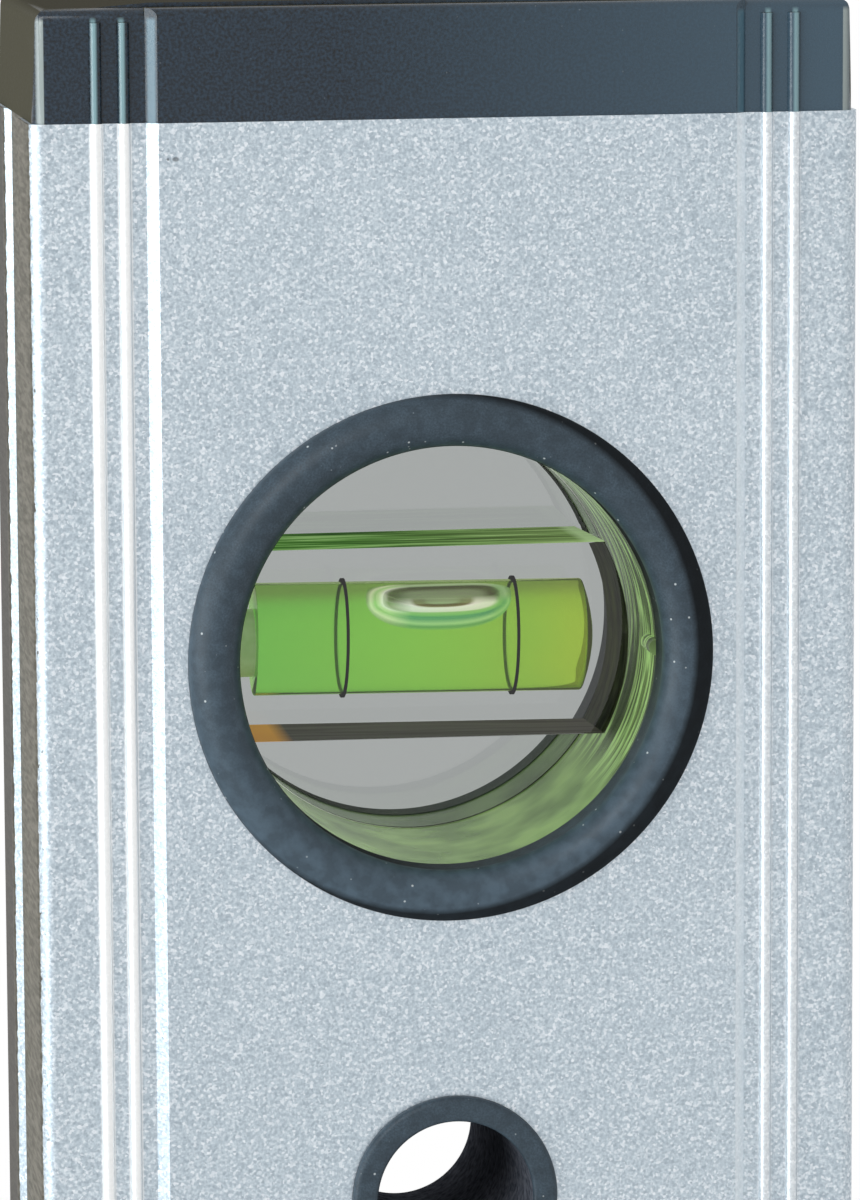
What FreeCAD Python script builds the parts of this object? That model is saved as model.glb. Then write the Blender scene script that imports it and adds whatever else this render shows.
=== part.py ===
"""Digital spirit level with an extruded box body, standing upright on its lower end cap.

Millimetres. +Z runs up the body, -Y is the front face and -X is the milled measuring face.
The origin is the middle of the foot, on the surface that the level stands on.
"""

import FreeCAD
import Part
import os

Vector = FreeCAD.Vector
X_AXIS = Vector(1, 0, 0)
Y_AXIS = Vector(0, 1, 0)
Z_AXIS = Vector(0, 0, 1)

# Extruded body
body_length = 383.2
face_width = 60.0
body_thickness = 25.0
panel_step = 0.65
panel_margin = 8.35
panel_slope = 0.8
bead_radius = 0.45
bead_margins = (4.8, 6.8)
edge_radius = 1.1
panel_wall = 2.3
margin_wall = 2.0
side_wall = 2.8
web_thickness = 1.6
web_margin = 7.7
chamber_radius = 0.8
channel_half_width = 5.0
channel_depth = 0.6

# End caps
cap_height = 8.4
cap_side_inset = 0.35
cap_face_inset = 0.2
cap_taper = 0.3
cap_round = 1.0
pad_height = 0.3
pad_half_width = 21.3
pad_slope = 3.8
cap_wall = 1.8
cap_end_wall = 3.0
plug_depth = 16.0
plug_side_depth = 10.0
plug_clearance = 0.15

# Round window with the plumb vial
window_drop = 38.85
window_radius = 17.6
ring_outer_radius = 19.15
ring_lip_radius = 15.4
ring_height = 1.6
ring_crown = 1.5
ring_edge = 0.3
ring_lip_depth = 2.2
sleeve_wall = 2.0
window_clearance = 0.1
gate_radius = 0.6
gate_length = 3.0

# Acrylic vial blocks, shared by both vials
bar_height = 14.4
bar_depth = 10.6
web_plate = 1.2
tube_radius = 4.2
line_groove = 0.42
line_width = 0.24
fill_radius = 2.5
bubble_film = 0.1

# Plumb vial
plumb_tube_left = 12.9
plumb_tube_right = 11.7
plumb_tube_tip = 0.9
plumb_tip_slope = 1.8
plumb_line_spacing = 12.75
plumb_line_offset = 0.15
plumb_set_angle = 0.3
bubble_length = 10.9
bubble_drop = 3.1
bubble_slope = 1.6
bubble_offset = 0.95

# Hanging hole
hang_drop = 78.5
hang_bore_radius = 5.72
bush_flange_radius = 7.55
bush_tube_wall = 1.05
bush_height = 0.7
bush_bevel = 0.3
bush_clearance = 0.08

# Horizontal vial in the upper edge
notch_radius = 2.5
frame_wall = 1.9
frame_end_wall = 1.8
frame_clearance = 0.1
frame_top_gap = 0.15
flange_lap = 1.5
flange_height = 0.8
level_tube_length = 40.0
level_end_wall = 5.0
level_line_spacing = 13.0
level_air_length = 5.2
level_window_end = 3.0
level_window_margin = 1.6
level_window_radius = 1.0
cover_thickness = 0.85
cover_window_half_depth = 4.1
cover_window_end = 5.0
cover_window_radius = 1.5

# Electronic module
module_gap = 13.0
opening_width = 38.0
opening_radius = 3.0
bezel_lap = 1.6
bezel_height = 0.8
bezel_plate = 1.6
bezel_wall = 1.5
bezel_engagement = 0.6
bezel_gap = 0.1
bezel_inner_radius = 1.0
tray_wall = 1.1
tray_gap = 0.3
tray_back = 1.2
display_margin = 7.0
lens_length = 56.0
lens_width = 28.0
lens_thickness = 1.0
lens_radius = 2.0
lens_ledge = 3.0
lens_opening_radius = 1.0
lens_gap = 0.1
panel_gap = 0.1
panel_inset = 1.0
panel_thickness = 1.9
strip_width = 1.8
board_gap = 1.1
board_thickness = 1.6
board_end_gap = 0.6
board_side_gap = 0.2
rib_width = 1.7
rib_length = 3.0
rib_margin = 1.7
chip_size = 9.0
chip_height = 1.2
chip_drop = 26.7
sensor_radius = 5.0
sensor_height = 3.4
sensor_drop = 8.7
buzzer_radius = 6.0
buzzer_height = 4.0
buzzer_rise = 9.7
screw_margin = 3.7
screw_radius = 1.2
screw_head_radius = 2.3
screw_head_height = 1.2
screw_length = 9.0
screw_clearance = 0.1
screw_slot = 0.5
screw_slot_length = 2.8
screw_slot_depth = 0.8
post_radius = 3.0

# Keys
key_length = 13.0
key_width = 10.5
key_radius = 3.0
key_bevel = 0.35
key_height = 0.7
key_lip = 0.8
key_lip_thickness = 0.6
key_clearance = 0.2
key_lip_gap = 0.1
key_travel = 0.8
key_spacing_x = 6.5
key_spacing_z = 3.5
key_rows = 2
keys_drop = 6.5
keys_margin = 9.0
key_stop_gap = 0.15
switch_size = 6.0
switch_plunger_size = 3.0
switch_plunger_height = 0.25

# Battery bay and its door
cell_radius = 5.25
cell_length = 44.5
cell_nub_radius = 1.9
cell_nub_height = 0.8
cell_spacing = 11.2
cell_gap = 0.1
bay_wall = 1.2
bay_side_gap = 1.35
contact_thickness = 0.4
contact_size = 8.0
contact_gap = 0.05
bay_slack = 1.15
spring_length = 4.1
spring_width = 5.0
spring_span = 7.0
spring_thickness = 0.3
door_thickness = 1.5
door_end_lap = 4.9
door_gap = 0.2
door_ledge = 0.9
door_seat_gap = 0.1
door_face_inset = 0.1
collar_side = 1.3
rear_opening_radius = 1.0
hinge_pin_radius = 0.7
hinge_pin_length = 0.9
hinge_clearance = 0.1
grip_ribs = 3
grip_rib_radius = 0.35
grip_pitch = 2.0
grip_margin = 3.0
grip_inset = 3.0
notch_nail_radius = 4.0

# Places worked out from the sizes above
half_width = face_width / 2
panel_y = body_thickness / 2
margin_y = panel_y - panel_step
body_low = cap_height
body_high = cap_height + body_length
window_z = body_high - window_drop
hang_z = body_high - hang_drop
level_z = cap_height + body_length / 2
level_bar_length = level_tube_length + 2 * level_end_wall
notch_length = level_bar_length + 2 * (frame_end_wall + 2 * frame_clearance)
notch_depth = frame_clearance + frame_wall + bar_height + cover_thickness + frame_top_gap
opening_length = (
    display_margin + lens_length + keys_drop + key_rows * key_length
    + (key_rows - 1) * key_spacing_z + keys_margin
)
module_centre = level_z - notch_length / 2 - module_gap - opening_length / 2
display_z = module_centre + opening_length / 2 - display_margin - lens_length / 2
web_outer = half_width - web_margin
web_inner = web_outer - web_thickness
chamber_y = panel_y - panel_wall


def block(x0, x1, y0, y1, z0, z1):
    """A plain box between two corners."""
    return Part.makeBox(x1 - x0, y1 - y0, z1 - z0, Vector(x0, y0, z0))


def rounded_block(x0, x1, y0, y1, z0, z1, radius, axis):
    """A box whose four edges along one axis are rounded."""
    box = block(x0, x1, y0, y1, z0, z1)
    along = [e for e in box.Edges if abs(e.tangentAt(e.FirstParameter).dot(axis)) > 0.99]
    return box.makeFillet(radius, along)


def rod(radius, length, start, direction):
    """A round bar from a start point."""
    return Part.makeCylinder(radius, length, start, direction)


def fused(shapes):
    """One clean solid from touching solids."""
    return shapes[0].fuse(shapes[1:]).removeSplitter()


def turned(points, centre, direction):
    """A solid of revolution about a line along Y. Points are (radius, height above the face)."""
    corners = [Vector(radius, -height, 0) for radius, height in points]
    solid = Part.Face(Part.makePolygon(corners + corners[:1])).revolve(Vector(), Y_AXIS, 360)
    if direction > 0:
        solid = solid.mirror(Vector(), Y_AXIS)
    solid.translate(centre)
    return solid


def prism(points, travel):
    """A polygon pushed along a straight way."""
    corners = [Vector(*point) for point in points]
    return Part.Face(Part.makePolygon(corners + corners[:1])).extrude(travel)


def panel_slab(side, plane, base, low, high):
    """The raised middle panel of one face, which slopes down to the margins at both sides."""
    foot = half_width - panel_margin
    crest = foot - panel_slope
    inner = side * (base - 2 * panel_step)
    outline = [
        (-foot, inner, low),
        (-foot, side * base, low),
        (-crest, side * plane, low),
        (crest, side * plane, low),
        (foot, side * base, low),
        (foot, inner, low),
    ]
    return prism(outline, Vector(0, 0, high - low))


def bead_places():
    """The X of each bead that runs along the margins."""
    return [sign * (half_width - margin) for sign in (-1, 1) for margin in bead_margins]


def make_body():
    """The aluminium extrusion: its outline, its three chambers and its machined openings."""
    low, high = body_low, body_high
    outline = [
        rounded_block(-half_width, half_width, -margin_y, margin_y, low, high, edge_radius, Z_AXIS)
    ]
    for side in (-1, 1):
        outline.append(panel_slab(side, panel_y, margin_y, low, high))
        for x in bead_places():
            outline.append(rod(bead_radius, body_length, Vector(x, side * margin_y, low), Z_AXIS))
    hollows = [
        rounded_block(
            -web_inner, web_inner, -chamber_y, chamber_y, low - 1, high + 1, chamber_radius, Z_AXIS
        )
    ]
    reach_y = margin_y - margin_wall
    channel_foot = channel_half_width - channel_depth
    for side in (-1, 1):
        near, far = sorted((side * web_outer, side * (half_width - side_wall)))
        hollows.append(
            rounded_block(near, far, -reach_y, reach_y, low - 1, high + 1, chamber_radius, Z_AXIS)
        )
        lip = side * half_width
        floor = side * (half_width - channel_depth)
        hollows.append(
            prism(
                [
                    (lip, -channel_half_width, low),
                    (floor, -channel_foot, low),
                    (floor, channel_foot, low),
                    (lip, channel_half_width, low),
                ],
                Vector(0, 0, body_length),
            )
        )
    return fused(outline).cut(hollows + body_openings())


def body_openings():
    """The window, the hanging hole, the vial notch and the two module openings of the body."""
    reach = panel_y + 1
    start = Vector(0, -reach, 0)
    return [
        rod(window_radius, 2 * reach, start + Vector(0, 0, window_z), Y_AXIS),
        rod(bush_hole_radius(), 2 * reach, start + Vector(0, 0, hang_z), Y_AXIS),
        rounded_block(
            half_width - notch_depth, half_width + 2 * notch_radius, -reach, reach,
            level_z - notch_length / 2, level_z + notch_length / 2, notch_radius, Y_AXIS,
        ),
        rounded_block(
            -opening_width / 2, opening_width / 2, -reach, 0,
            module_centre - opening_length / 2, module_centre + opening_length / 2,
            opening_radius, Y_AXIS,
        ),
        rounded_block(
            -rear_opening_x(), rear_opening_x(), 0, reach,
            module_centre - rear_opening_z(), module_centre + rear_opening_z(),
            rear_opening_radius, Y_AXIS,
        ),
    ]


def make_cap():
    """An end cap with its seam at z = 0, its head above and its plugs below."""
    head_top = cap_height - pad_height
    depth = margin_y - cap_face_inset
    reach = half_width - cap_side_inset
    head = rounded_block(-reach, reach, -depth, depth, 0, head_top, edge_radius, Z_AXIS)
    head = head.common(rounded_bar(reach, reach - cap_taper, head_top, cap_round, panel_y, Y_AXIS))
    head = head.common(rounded_bar(depth, depth, head_top, cap_round, half_width, X_AXIS))
    pieces = [head, end_pad(head_top, depth - cap_round)]
    for side in (-1, 1):
        pieces.append(cap_panel(side, head_top))
        for x in bead_places():
            pieces.append(rod(bead_radius, head_top - cap_round, Vector(x, side * depth, 0), Z_AXIS))
    return fused(pieces + cap_plugs()).cut(cap_hollow())


def rounded_bar(foot, crest, top, radius, reach, axis):
    """A bar along X or Y on z = 0, with sides that slope from foot to crest and rounded top edges."""
    corners = []
    for side, z in ((-foot, 0), (foot, 0), (crest, top), (-crest, top)):
        corners.append((side, -reach, z) if axis == Y_AXIS else (-reach, side, z))
    bar = prism(corners, axis * (2 * reach))
    ridges = [
        e for e in bar.Edges
        if e.BoundBox.ZMin > top - 1e-3 and abs(e.tangentAt(e.FirstParameter).dot(axis)) > 0.99
    ]
    return bar.makeFillet(radius, ridges)


def end_pad(low, depth):
    """The low pad of the end face, which the level stands on, with its two long slopes."""
    foot = pad_half_width + pad_slope
    outline = [
        (-foot, -depth, low - pad_height),
        (-foot, -depth, low),
        (-pad_half_width, -depth, cap_height),
        (pad_half_width, -depth, cap_height),
        (foot, -depth, low),
        (foot, -depth, low - pad_height),
    ]
    return prism(outline, Vector(0, 2 * depth, 0))


def cap_panel(side, head_top):
    """The body's raised panel, carried on over the cap's head and rounded off at its end."""
    crest_y = panel_y - cap_face_inset
    slab = panel_slab(side, crest_y, margin_y - cap_face_inset, 0, head_top)
    return slab.common(rounded_bar(crest_y, crest_y, head_top, panel_step, half_width, X_AXIS))


def cap_plugs():
    """The three plugs that fit the chambers of the body."""
    reach = web_inner - plug_clearance
    depth = chamber_y - plug_clearance
    plugs = [rounded_block(-reach, reach, -depth, depth, -plug_depth, 0, chamber_radius, Z_AXIS)]
    depth = margin_y - margin_wall - plug_clearance
    for side in (-1, 1):
        near, far = sorted(
            (side * (web_outer + plug_clearance), side * (half_width - side_wall - plug_clearance))
        )
        plugs.append(
            rounded_block(near, far, -depth, depth, -plug_side_depth, 0, chamber_radius, Z_AXIS)
        )
    return plugs


def cap_hollow():
    """The space inside the middle plug, which leaves an even wall for moulding."""
    reach = web_inner - plug_clearance - cap_wall
    depth = chamber_y - plug_clearance - cap_wall
    return rounded_block(
        -reach, reach, -depth, depth, -plug_depth - 1, cap_height - cap_end_wall,
        chamber_radius, Z_AXIS,
    )


def place_cap(cap, upper):
    """Puts a copy of the cap on the upper or the lower end of the body."""
    placed = cap.copy()
    if not upper:
        placed.rotate(Vector(), Y_AXIS, 180)
    placed.translate(Vector(0, 0, body_high if upper else body_low))
    return placed


def make_window_ring(direction):
    """The black ring of one face: a raised flange with two slopes, and a lip that enters the window."""
    lip_outer = window_radius - window_clearance
    middle = (ring_lip_radius + ring_outer_radius) / 2
    outline = [
        (ring_lip_radius, -ring_lip_depth),
        (ring_lip_radius, ring_edge),
        (middle - ring_crown / 2, ring_height),
        (middle + ring_crown / 2, ring_height),
        (ring_outer_radius, ring_edge),
        (ring_outer_radius, 0),
        (lip_outer, 0),
        (lip_outer, -ring_lip_depth),
    ]
    return turned(outline, Vector(0, direction * panel_y, window_z), direction)


def sleeve_outer():
    """Outside radius of the tinted sleeve, which fits the drilled window."""
    return window_radius - window_clearance


def sleeve_inner():
    """Inside radius of the tinted sleeve, which the vial block fits."""
    return sleeve_outer() - sleeve_wall


def make_sleeve():
    """The green tinted sleeve that lines the window between the two ring lips."""
    reach = panel_y - ring_lip_depth
    start = Vector(0, -reach, window_z)
    tube = rod(sleeve_outer(), 2 * reach, start, Y_AXIS)
    tube = tube.cut(rod(sleeve_inner(), 2 * reach, start, Y_AXIS))
    gate = rod(gate_radius, gate_length, start + Vector(sleeve_inner(), 0, 0), Y_AXIS)
    wall = rod(sleeve_outer(), gate_length, start, Y_AXIS)
    return fused([tube, gate.common(wall)])


def tipped_rod(radius, left, right, tip, slope):
    """A round bar along X, flat at the left, whose right end narrows by the slope over its tip."""
    bar = rod(radius, left + right, Vector(-left, 0, 0), X_AXIS)
    end = Part.makeCone(radius, radius - slope, tip, Vector(right, 0, 0), X_AXIS)
    return fused([bar, end])


def line_rings(spacing, offset=0):
    """The two reading lines, which fill grooves in the wall of the bore."""
    rings = []
    for side in (-1, 1):
        start = Vector(offset + side * spacing / 2 - line_width / 2, 0, 0)
        outer = rod(tube_radius + line_groove, line_width, start, X_AXIS)
        rings.append(outer.cut(rod(tube_radius, line_width, start, X_AXIS)))
    return rings


def bubble_shape():
    """The air bubble: a bar with narrowed ends along the top of the bore, under a film of liquid."""
    ceiling = tube_radius - bubble_film
    half = bubble_length / 2 - bubble_slope
    bar = rod(bubble_drop, 2 * half, Vector(-half, 0, 0), X_AXIS)
    ends = [
        Part.makeCone(
            bubble_drop, bubble_drop - bubble_slope, bubble_slope, X_AXIS * (side * half), X_AXIS * side
        )
        for side in (-1, 1)
    ]
    whole = fused([bar] + ends)
    whole.translate(Vector(bubble_offset, 0, ceiling))
    reach = bubble_length
    inside = rod(ceiling, 2 * reach, Vector(bubble_offset - reach, 0, 0), X_AXIS)
    return whole.common(inside)


def plumb_pieces():
    """Block, liquid, lines and plug of the plumb vial, turned to the angle that it was set at."""
    block_radius = sleeve_inner() - window_clearance / 2
    ends = (plumb_tube_left, plumb_tube_right, plumb_tube_tip, plumb_tip_slope)
    tube = tipped_rod(tube_radius, *ends)
    rings = line_rings(plumb_line_spacing, plumb_line_offset)
    half_height = bar_height / 2
    half_depth = bar_depth / 2
    bar = block(-block_radius, block_radius, -half_depth, half_depth, -half_height, half_height)
    bar = bar.common(rod(block_radius, bar_depth, Vector(0, -half_depth, 0), Y_AXIS))
    web = rod(block_radius, web_plate, Vector(0, -web_plate / 2, 0), Y_AXIS)
    fill = rod(fill_radius, block_radius - plumb_tube_left, Vector(-block_radius, 0, 0), X_AXIS)
    solid = fused([bar, web])
    made = {
        "plumb_vial_block": solid.cut([tube, fill] + rings),
        "plumb_vial_liquid": tube.cut(bubble_shape()),
        "plumb_vial_lines": Part.makeCompound(rings),
        "plumb_vial_plug": fill.common(rod(block_radius, bar_depth, Vector(0, -half_depth, 0), Y_AXIS)),
    }
    for shape in made.values():
        shape.rotate(Vector(), Y_AXIS, -plumb_set_angle)
        shape.translate(Vector(0, 0, window_z))
    return made


def bush_hole_radius():
    """Radius of the drilled hole that the hanging bush fits."""
    return hang_bore_radius + bush_tube_wall + bush_clearance


def make_bush(direction):
    """Half of the hanging bush: a flange on the face and a tube to the middle of the body."""
    tube_outer = hang_bore_radius + bush_tube_wall
    outline = [
        (hang_bore_radius, -panel_y),
        (hang_bore_radius, bush_height),
        (bush_flange_radius - bush_bevel, bush_height),
        (bush_flange_radius, bush_height - bush_bevel),
        (bush_flange_radius, 0),
        (tube_outer, 0),
        (tube_outer, -panel_y),
    ]
    return turned(outline, Vector(0, direction * panel_y, hang_z), direction)


def level_frame_x():
    """Lowest and highest X of the horizontal vial's frame."""
    return half_width - notch_depth + frame_clearance, half_width - frame_top_gap


def level_bar_x():
    """Lowest and highest X of the horizontal vial's bar, which stands on the frame's floor."""
    low = level_frame_x()[0] + frame_wall
    return low, low + bar_height


def make_level_frame():
    """The black frame that straddles the notch in the upper edge."""
    low, high = level_frame_x()
    half = notch_length / 2 - frame_clearance
    body = rounded_block(
        low, high + notch_radius * 2, -panel_y, panel_y, level_z - half, level_z + half,
        notch_radius, Y_AXIS,
    )
    body = body.common(block(low, high, -panel_y, panel_y, level_z - half, level_z + half))
    pieces = [body]
    lap = notch_length / 2 + flange_lap
    foot = half_width - notch_depth - flange_lap
    for side in (-1, 1):
        near, far = sorted((side * panel_y, side * (panel_y + flange_height)))
        plate = rounded_block(
            foot, high + notch_radius * 2, near, far, level_z - lap, level_z + lap,
            notch_radius, Y_AXIS,
        )
        pieces.append(plate.common(block(foot, high, near, far, level_z - lap, level_z + lap)))
    bar_low, bar_high = level_bar_x()
    pocket_half = level_bar_length / 2 + frame_clearance
    pocket_y = bar_depth / 2 + frame_clearance
    pocket = block(bar_low, high + 1, -pocket_y, pocket_y, level_z - pocket_half, level_z + pocket_half)
    reach = panel_y + flange_height + 1
    window_half = level_bar_length / 2 - level_window_end
    window = rounded_block(
        bar_low + level_window_margin, bar_high - level_window_margin, -reach, reach,
        level_z - window_half, level_z + window_half, level_window_radius, Y_AXIS,
    )
    return fused(pieces).cut([pocket, window])


def make_level_cover():
    """The slim cover that closes the frame over the bar, with its reading window."""
    low = level_bar_x()[1]
    high = level_frame_x()[1]
    half_y = bar_depth / 2
    half_z = level_bar_length / 2
    plate = block(low, high, -half_y, half_y, level_z - half_z, level_z + half_z)
    window_half = half_z - cover_window_end
    window = rounded_block(
        low - 1, high + 1, -cover_window_half_depth, cover_window_half_depth,
        level_z - window_half, level_z + window_half, cover_window_radius, X_AXIS,
    )
    return plate.cut(window)


def level_pieces():
    """Block, liquid, lines and plug of the horizontal vial. Its air stands at the upper end."""
    bar_low, bar_high = level_bar_x()
    half_tube = level_tube_length / 2
    half_bar = level_bar_length / 2
    tube = rod(tube_radius, level_tube_length, Vector(-half_tube, 0, 0), X_AXIS)
    rings = line_rings(level_line_spacing)
    bar = block(-half_bar, half_bar, -bar_depth / 2, bar_depth / 2, -bar_height / 2, bar_height / 2)
    fill = rod(fill_radius, half_bar - half_tube, Vector(-half_bar, 0, 0), X_AXIS)
    wet = rod(tube_radius, level_tube_length - level_air_length, Vector(-half_tube, 0, 0), X_AXIS)
    made = {
        "level_vial_block": bar.cut([tube, fill] + rings),
        "level_vial_liquid": wet,
        "level_vial_lines": Part.makeCompound(rings),
        "level_vial_plug": fill,
    }
    for shape in made.values():
        shape.rotate(Vector(), Y_AXIS, -90)
        shape.translate(Vector((bar_low + bar_high) / 2, 0, level_z))
    return made


def module_y():
    """The depths of the module's layers, from the bezel's face to the back of the board."""
    face = -(panel_y + bezel_height)
    plate_back = face + bezel_plate
    glass_front = plate_back + panel_gap
    board_front = glass_front + panel_thickness + board_gap
    return {
        "face": face,
        "plate_back": plate_back,
        "lens_back": face + lens_thickness,
        "rim_back": -chamber_y + bezel_engagement,
        "glass_front": glass_front,
        "glass_back": glass_front + panel_thickness,
        "board_front": board_front,
        "board_back": board_front + board_thickness,
    }


def key_places():
    """The X and Z of each key's middle, by name. The keys lie in rows of two under the display."""
    names = ("power_key", "hold_key", "zero_key", "unit_key")
    x = (key_width + key_spacing_x) / 2
    top = display_z - lens_length / 2 - keys_drop - key_length / 2
    rows = [top - i * (key_length + key_spacing_z) for i in range(key_rows)]
    return dict(zip(names, [(side * x, z) for z in rows for side in (1, -1)]))


def screw_places():
    """The X and Z of the four module screws, in the corners of the opening."""
    x = opening_width / 2 - screw_margin
    z = opening_length / 2 - screw_margin
    return [(sx * x, module_centre + sz * z) for sx in (-1, 1) for sz in (-1, 1)]


def make_bezel():
    """The black fascia over the front opening, with the lens recess, key holes and screw bosses."""
    y = module_y()
    lap_x = opening_width / 2 + bezel_lap
    lap_z = opening_length / 2 + bezel_lap
    flange = rounded_block(
        -lap_x, lap_x, y["face"], -panel_y, module_centre - lap_z, module_centre + lap_z,
        opening_radius + bezel_lap, Y_AXIS,
    )
    in_x = opening_width / 2 - bezel_gap
    in_z = opening_length / 2 - bezel_gap
    skirt = rounded_block(
        -in_x, in_x, -panel_y, y["rim_back"], module_centre - in_z, module_centre + in_z,
        opening_radius - bezel_gap, Y_AXIS,
    )
    hollow = rounded_block(
        -in_x + bezel_wall, in_x - bezel_wall, y["plate_back"], y["rim_back"] + 1,
        module_centre - in_z + bezel_wall, module_centre + in_z - bezel_wall,
        bezel_inner_radius, Y_AXIS,
    )
    shell = fused([flange, skirt]).cut(hollow)
    bosses = [
        rod(post_radius, y["rim_back"] - y["plate_back"], Vector(x, y["plate_back"], z), Y_AXIS)
        for x, z in screw_places()
    ]
    inside = rounded_block(
        -in_x, in_x, y["plate_back"], y["rim_back"], module_centre - in_z, module_centre + in_z,
        opening_radius - bezel_gap, Y_AXIS,
    )
    shell = fused([shell] + [boss.common(inside) for boss in bosses])
    cutters = []
    cutters.append(
        rounded_block(
            -lens_width / 2 - lens_gap, lens_width / 2 + lens_gap, y["face"] - 1, y["lens_back"],
            display_z - lens_length / 2 - lens_gap, display_z + lens_length / 2 + lens_gap,
            lens_radius + lens_gap, Y_AXIS,
        )
    )
    cutters.append(
        rounded_block(
            -lens_width / 2 + lens_ledge, lens_width / 2 - lens_ledge, y["face"], y["plate_back"],
            display_z - lens_length / 2 + lens_ledge, display_z + lens_length / 2 - lens_ledge,
            lens_opening_radius, Y_AXIS,
        )
    )
    for x, z in key_places().values():
        half_x = key_width / 2 + key_clearance
        half_z = key_length / 2 + key_clearance
        cutters.append(
            rounded_block(
                x - half_x, x + half_x, y["face"] - 1, y["plate_back"], z - half_z, z + half_z,
                key_radius + key_clearance, Y_AXIS,
            )
        )
    for x, z in screw_places():
        cutters.append(screw_space(x, z, y["rim_back"]))
    return shell.cut(cutters)


def screw_space(x, z, back):
    """The counterbored hole that one screw passes through."""
    face = module_y()["face"]
    head = rod(screw_head_radius + screw_clearance, screw_head_height, Vector(x, face, z), Y_AXIS)
    return head.fuse(rod(screw_radius + screw_clearance, back - face, Vector(x, face, z), Y_AXIS))


def make_screws():
    """Four screws with flat round heads and a cross recess, from the bezel into the tray's posts."""
    face = module_y()["face"]
    screws = []
    for x, z in screw_places():
        start = Vector(x, face, z)
        head = rod(screw_head_radius, screw_head_height, start, Y_AXIS)
        shank = rod(screw_radius, screw_length, start, Y_AXIS)
        recess = []
        arm = screw_slot_length / 2
        half = screw_slot / 2
        for dx, dz in ((arm, half), (half, arm)):
            recess.append(block(x - dx, x + dx, face, face + screw_slot_depth, z - dz, z + dz))
        screws.append(fused([head, shank]).cut(recess))
    return Part.makeCompound(screws)


def bay():
    """The inside of the battery bay: half width, half length and floor height."""
    return {
        "half_x": cell_spacing / 2 + cell_radius + bay_side_gap,
        "half_z": (cell_length + spring_length) / 2 + contact_thickness + contact_gap,
        "floor": door_inner_y() - bay_slack - 2 * cell_radius - cell_gap,
    }


def door_inner_y():
    """Depth of the closed door's inner face, which is also the depth of its hinge line."""
    return panel_y - door_face_inset - door_thickness


def door_half_x():
    """Half the width of the battery door."""
    return bay()["half_x"] + door_ledge - door_gap


def hinge_z():
    """Height of the battery door's hinge line."""
    return module_centre + bay()["half_z"] + door_end_lap - door_thickness - door_gap


def door_low_z():
    """Height of the closed door's free end."""
    return module_centre - bay()["half_z"] - door_end_lap + door_gap


def rear_opening_x():
    """Half width of the opening in the rear wall, which the tray's collar fits."""
    return bay()["half_x"] + door_ledge + collar_side + bezel_gap


def rear_opening_z():
    """Half length of the opening in the rear wall."""
    return bay()["half_z"] + door_end_lap + collar_side + bezel_gap


def tray_half_x():
    """Outer half width of the tray, which passes through the front opening."""
    return opening_width / 2 - tray_gap


def tray_half_z():
    """Outer half length of the tray."""
    return opening_length / 2 - tray_gap


def make_tray():
    """The inner housing: walls, screw posts, board ribs, battery bay and the collar of its door."""
    front = module_y()["rim_back"]
    back = chamber_y - tray_back
    out_x, out_z = tray_half_x(), tray_half_z()
    in_x, in_z = out_x - tray_wall, out_z - tray_wall
    outer = rounded_block(
        -out_x, out_x, front, chamber_y, module_centre - out_z, module_centre + out_z,
        opening_radius - tray_gap, Y_AXIS,
    )
    inner = rounded_block(
        -in_x, in_x, front - 1, back, module_centre - in_z, module_centre + in_z,
        opening_radius - tray_gap - tray_wall, Y_AXIS,
    )
    pieces = [outer.cut(inner)]
    pieces += [rod(post_radius, back - front, Vector(x, front, z), Y_AXIS) for x, z in screw_places()]
    pieces += board_ribs(in_x, back)
    pieces += bay_walls(back)
    cutters = [bay_space()] + door_spaces()
    for x, z in screw_places():
        depth = module_y()["face"] + screw_length + screw_clearance - front
        cutters.append(rod(screw_radius, depth, Vector(x, front, z), Y_AXIS))
    return fused(pieces).cut(cutters)


def board_half_z():
    """Half the length of the circuit board, which lies between the screw posts."""
    return opening_length / 2 - screw_margin - post_radius - board_end_gap / 2


def board_half_x():
    """Half the width of the circuit board, which lies between the tray's sides."""
    return tray_half_x() - tray_wall - board_side_gap


def board_ribs(in_x, back):
    """The four ribs on the tray's sides that the circuit board lies on."""
    front = module_y()["board_back"]
    rib_z = board_half_z() - rib_margin
    ribs = []
    for side in (-1, 1):
        near, far = sorted((side * (in_x - rib_width), side * in_x))
        for end in (-1, 1):
            z = module_centre + end * rib_z
            ribs.append(block(near, far, front, back, z - rib_length / 2, z + rib_length / 2))
    return ribs


def bay_walls(back):
    """The walls of the battery bay, the collar in the rear opening and the bed of the hinge."""
    space = bay()
    out_x, out_z = space["half_x"] + bay_wall, space["half_z"] + bay_wall
    collar_x, collar_z = rear_opening_x() - bezel_gap, rear_opening_z() - bezel_gap
    bed_y = door_inner_y() - door_thickness - door_gap - tray_back
    return [
        block(
            -out_x, out_x, space["floor"] - bay_wall, back,
            module_centre - out_z, module_centre + out_z,
        ),
        rounded_block(
            -collar_x, collar_x, back, panel_y - door_face_inset,
            module_centre - collar_z, module_centre + collar_z,
            rear_opening_radius - bezel_gap, Y_AXIS,
        ),
        block(-collar_x, collar_x, bed_y, back, module_centre + out_z, module_centre + collar_z),
    ]


def bay_space():
    """The inside of the battery bay."""
    space = bay()
    return block(
        -space["half_x"], space["half_x"], space["floor"], panel_y,
        module_centre - space["half_z"], module_centre + space["half_z"],
    )


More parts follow.
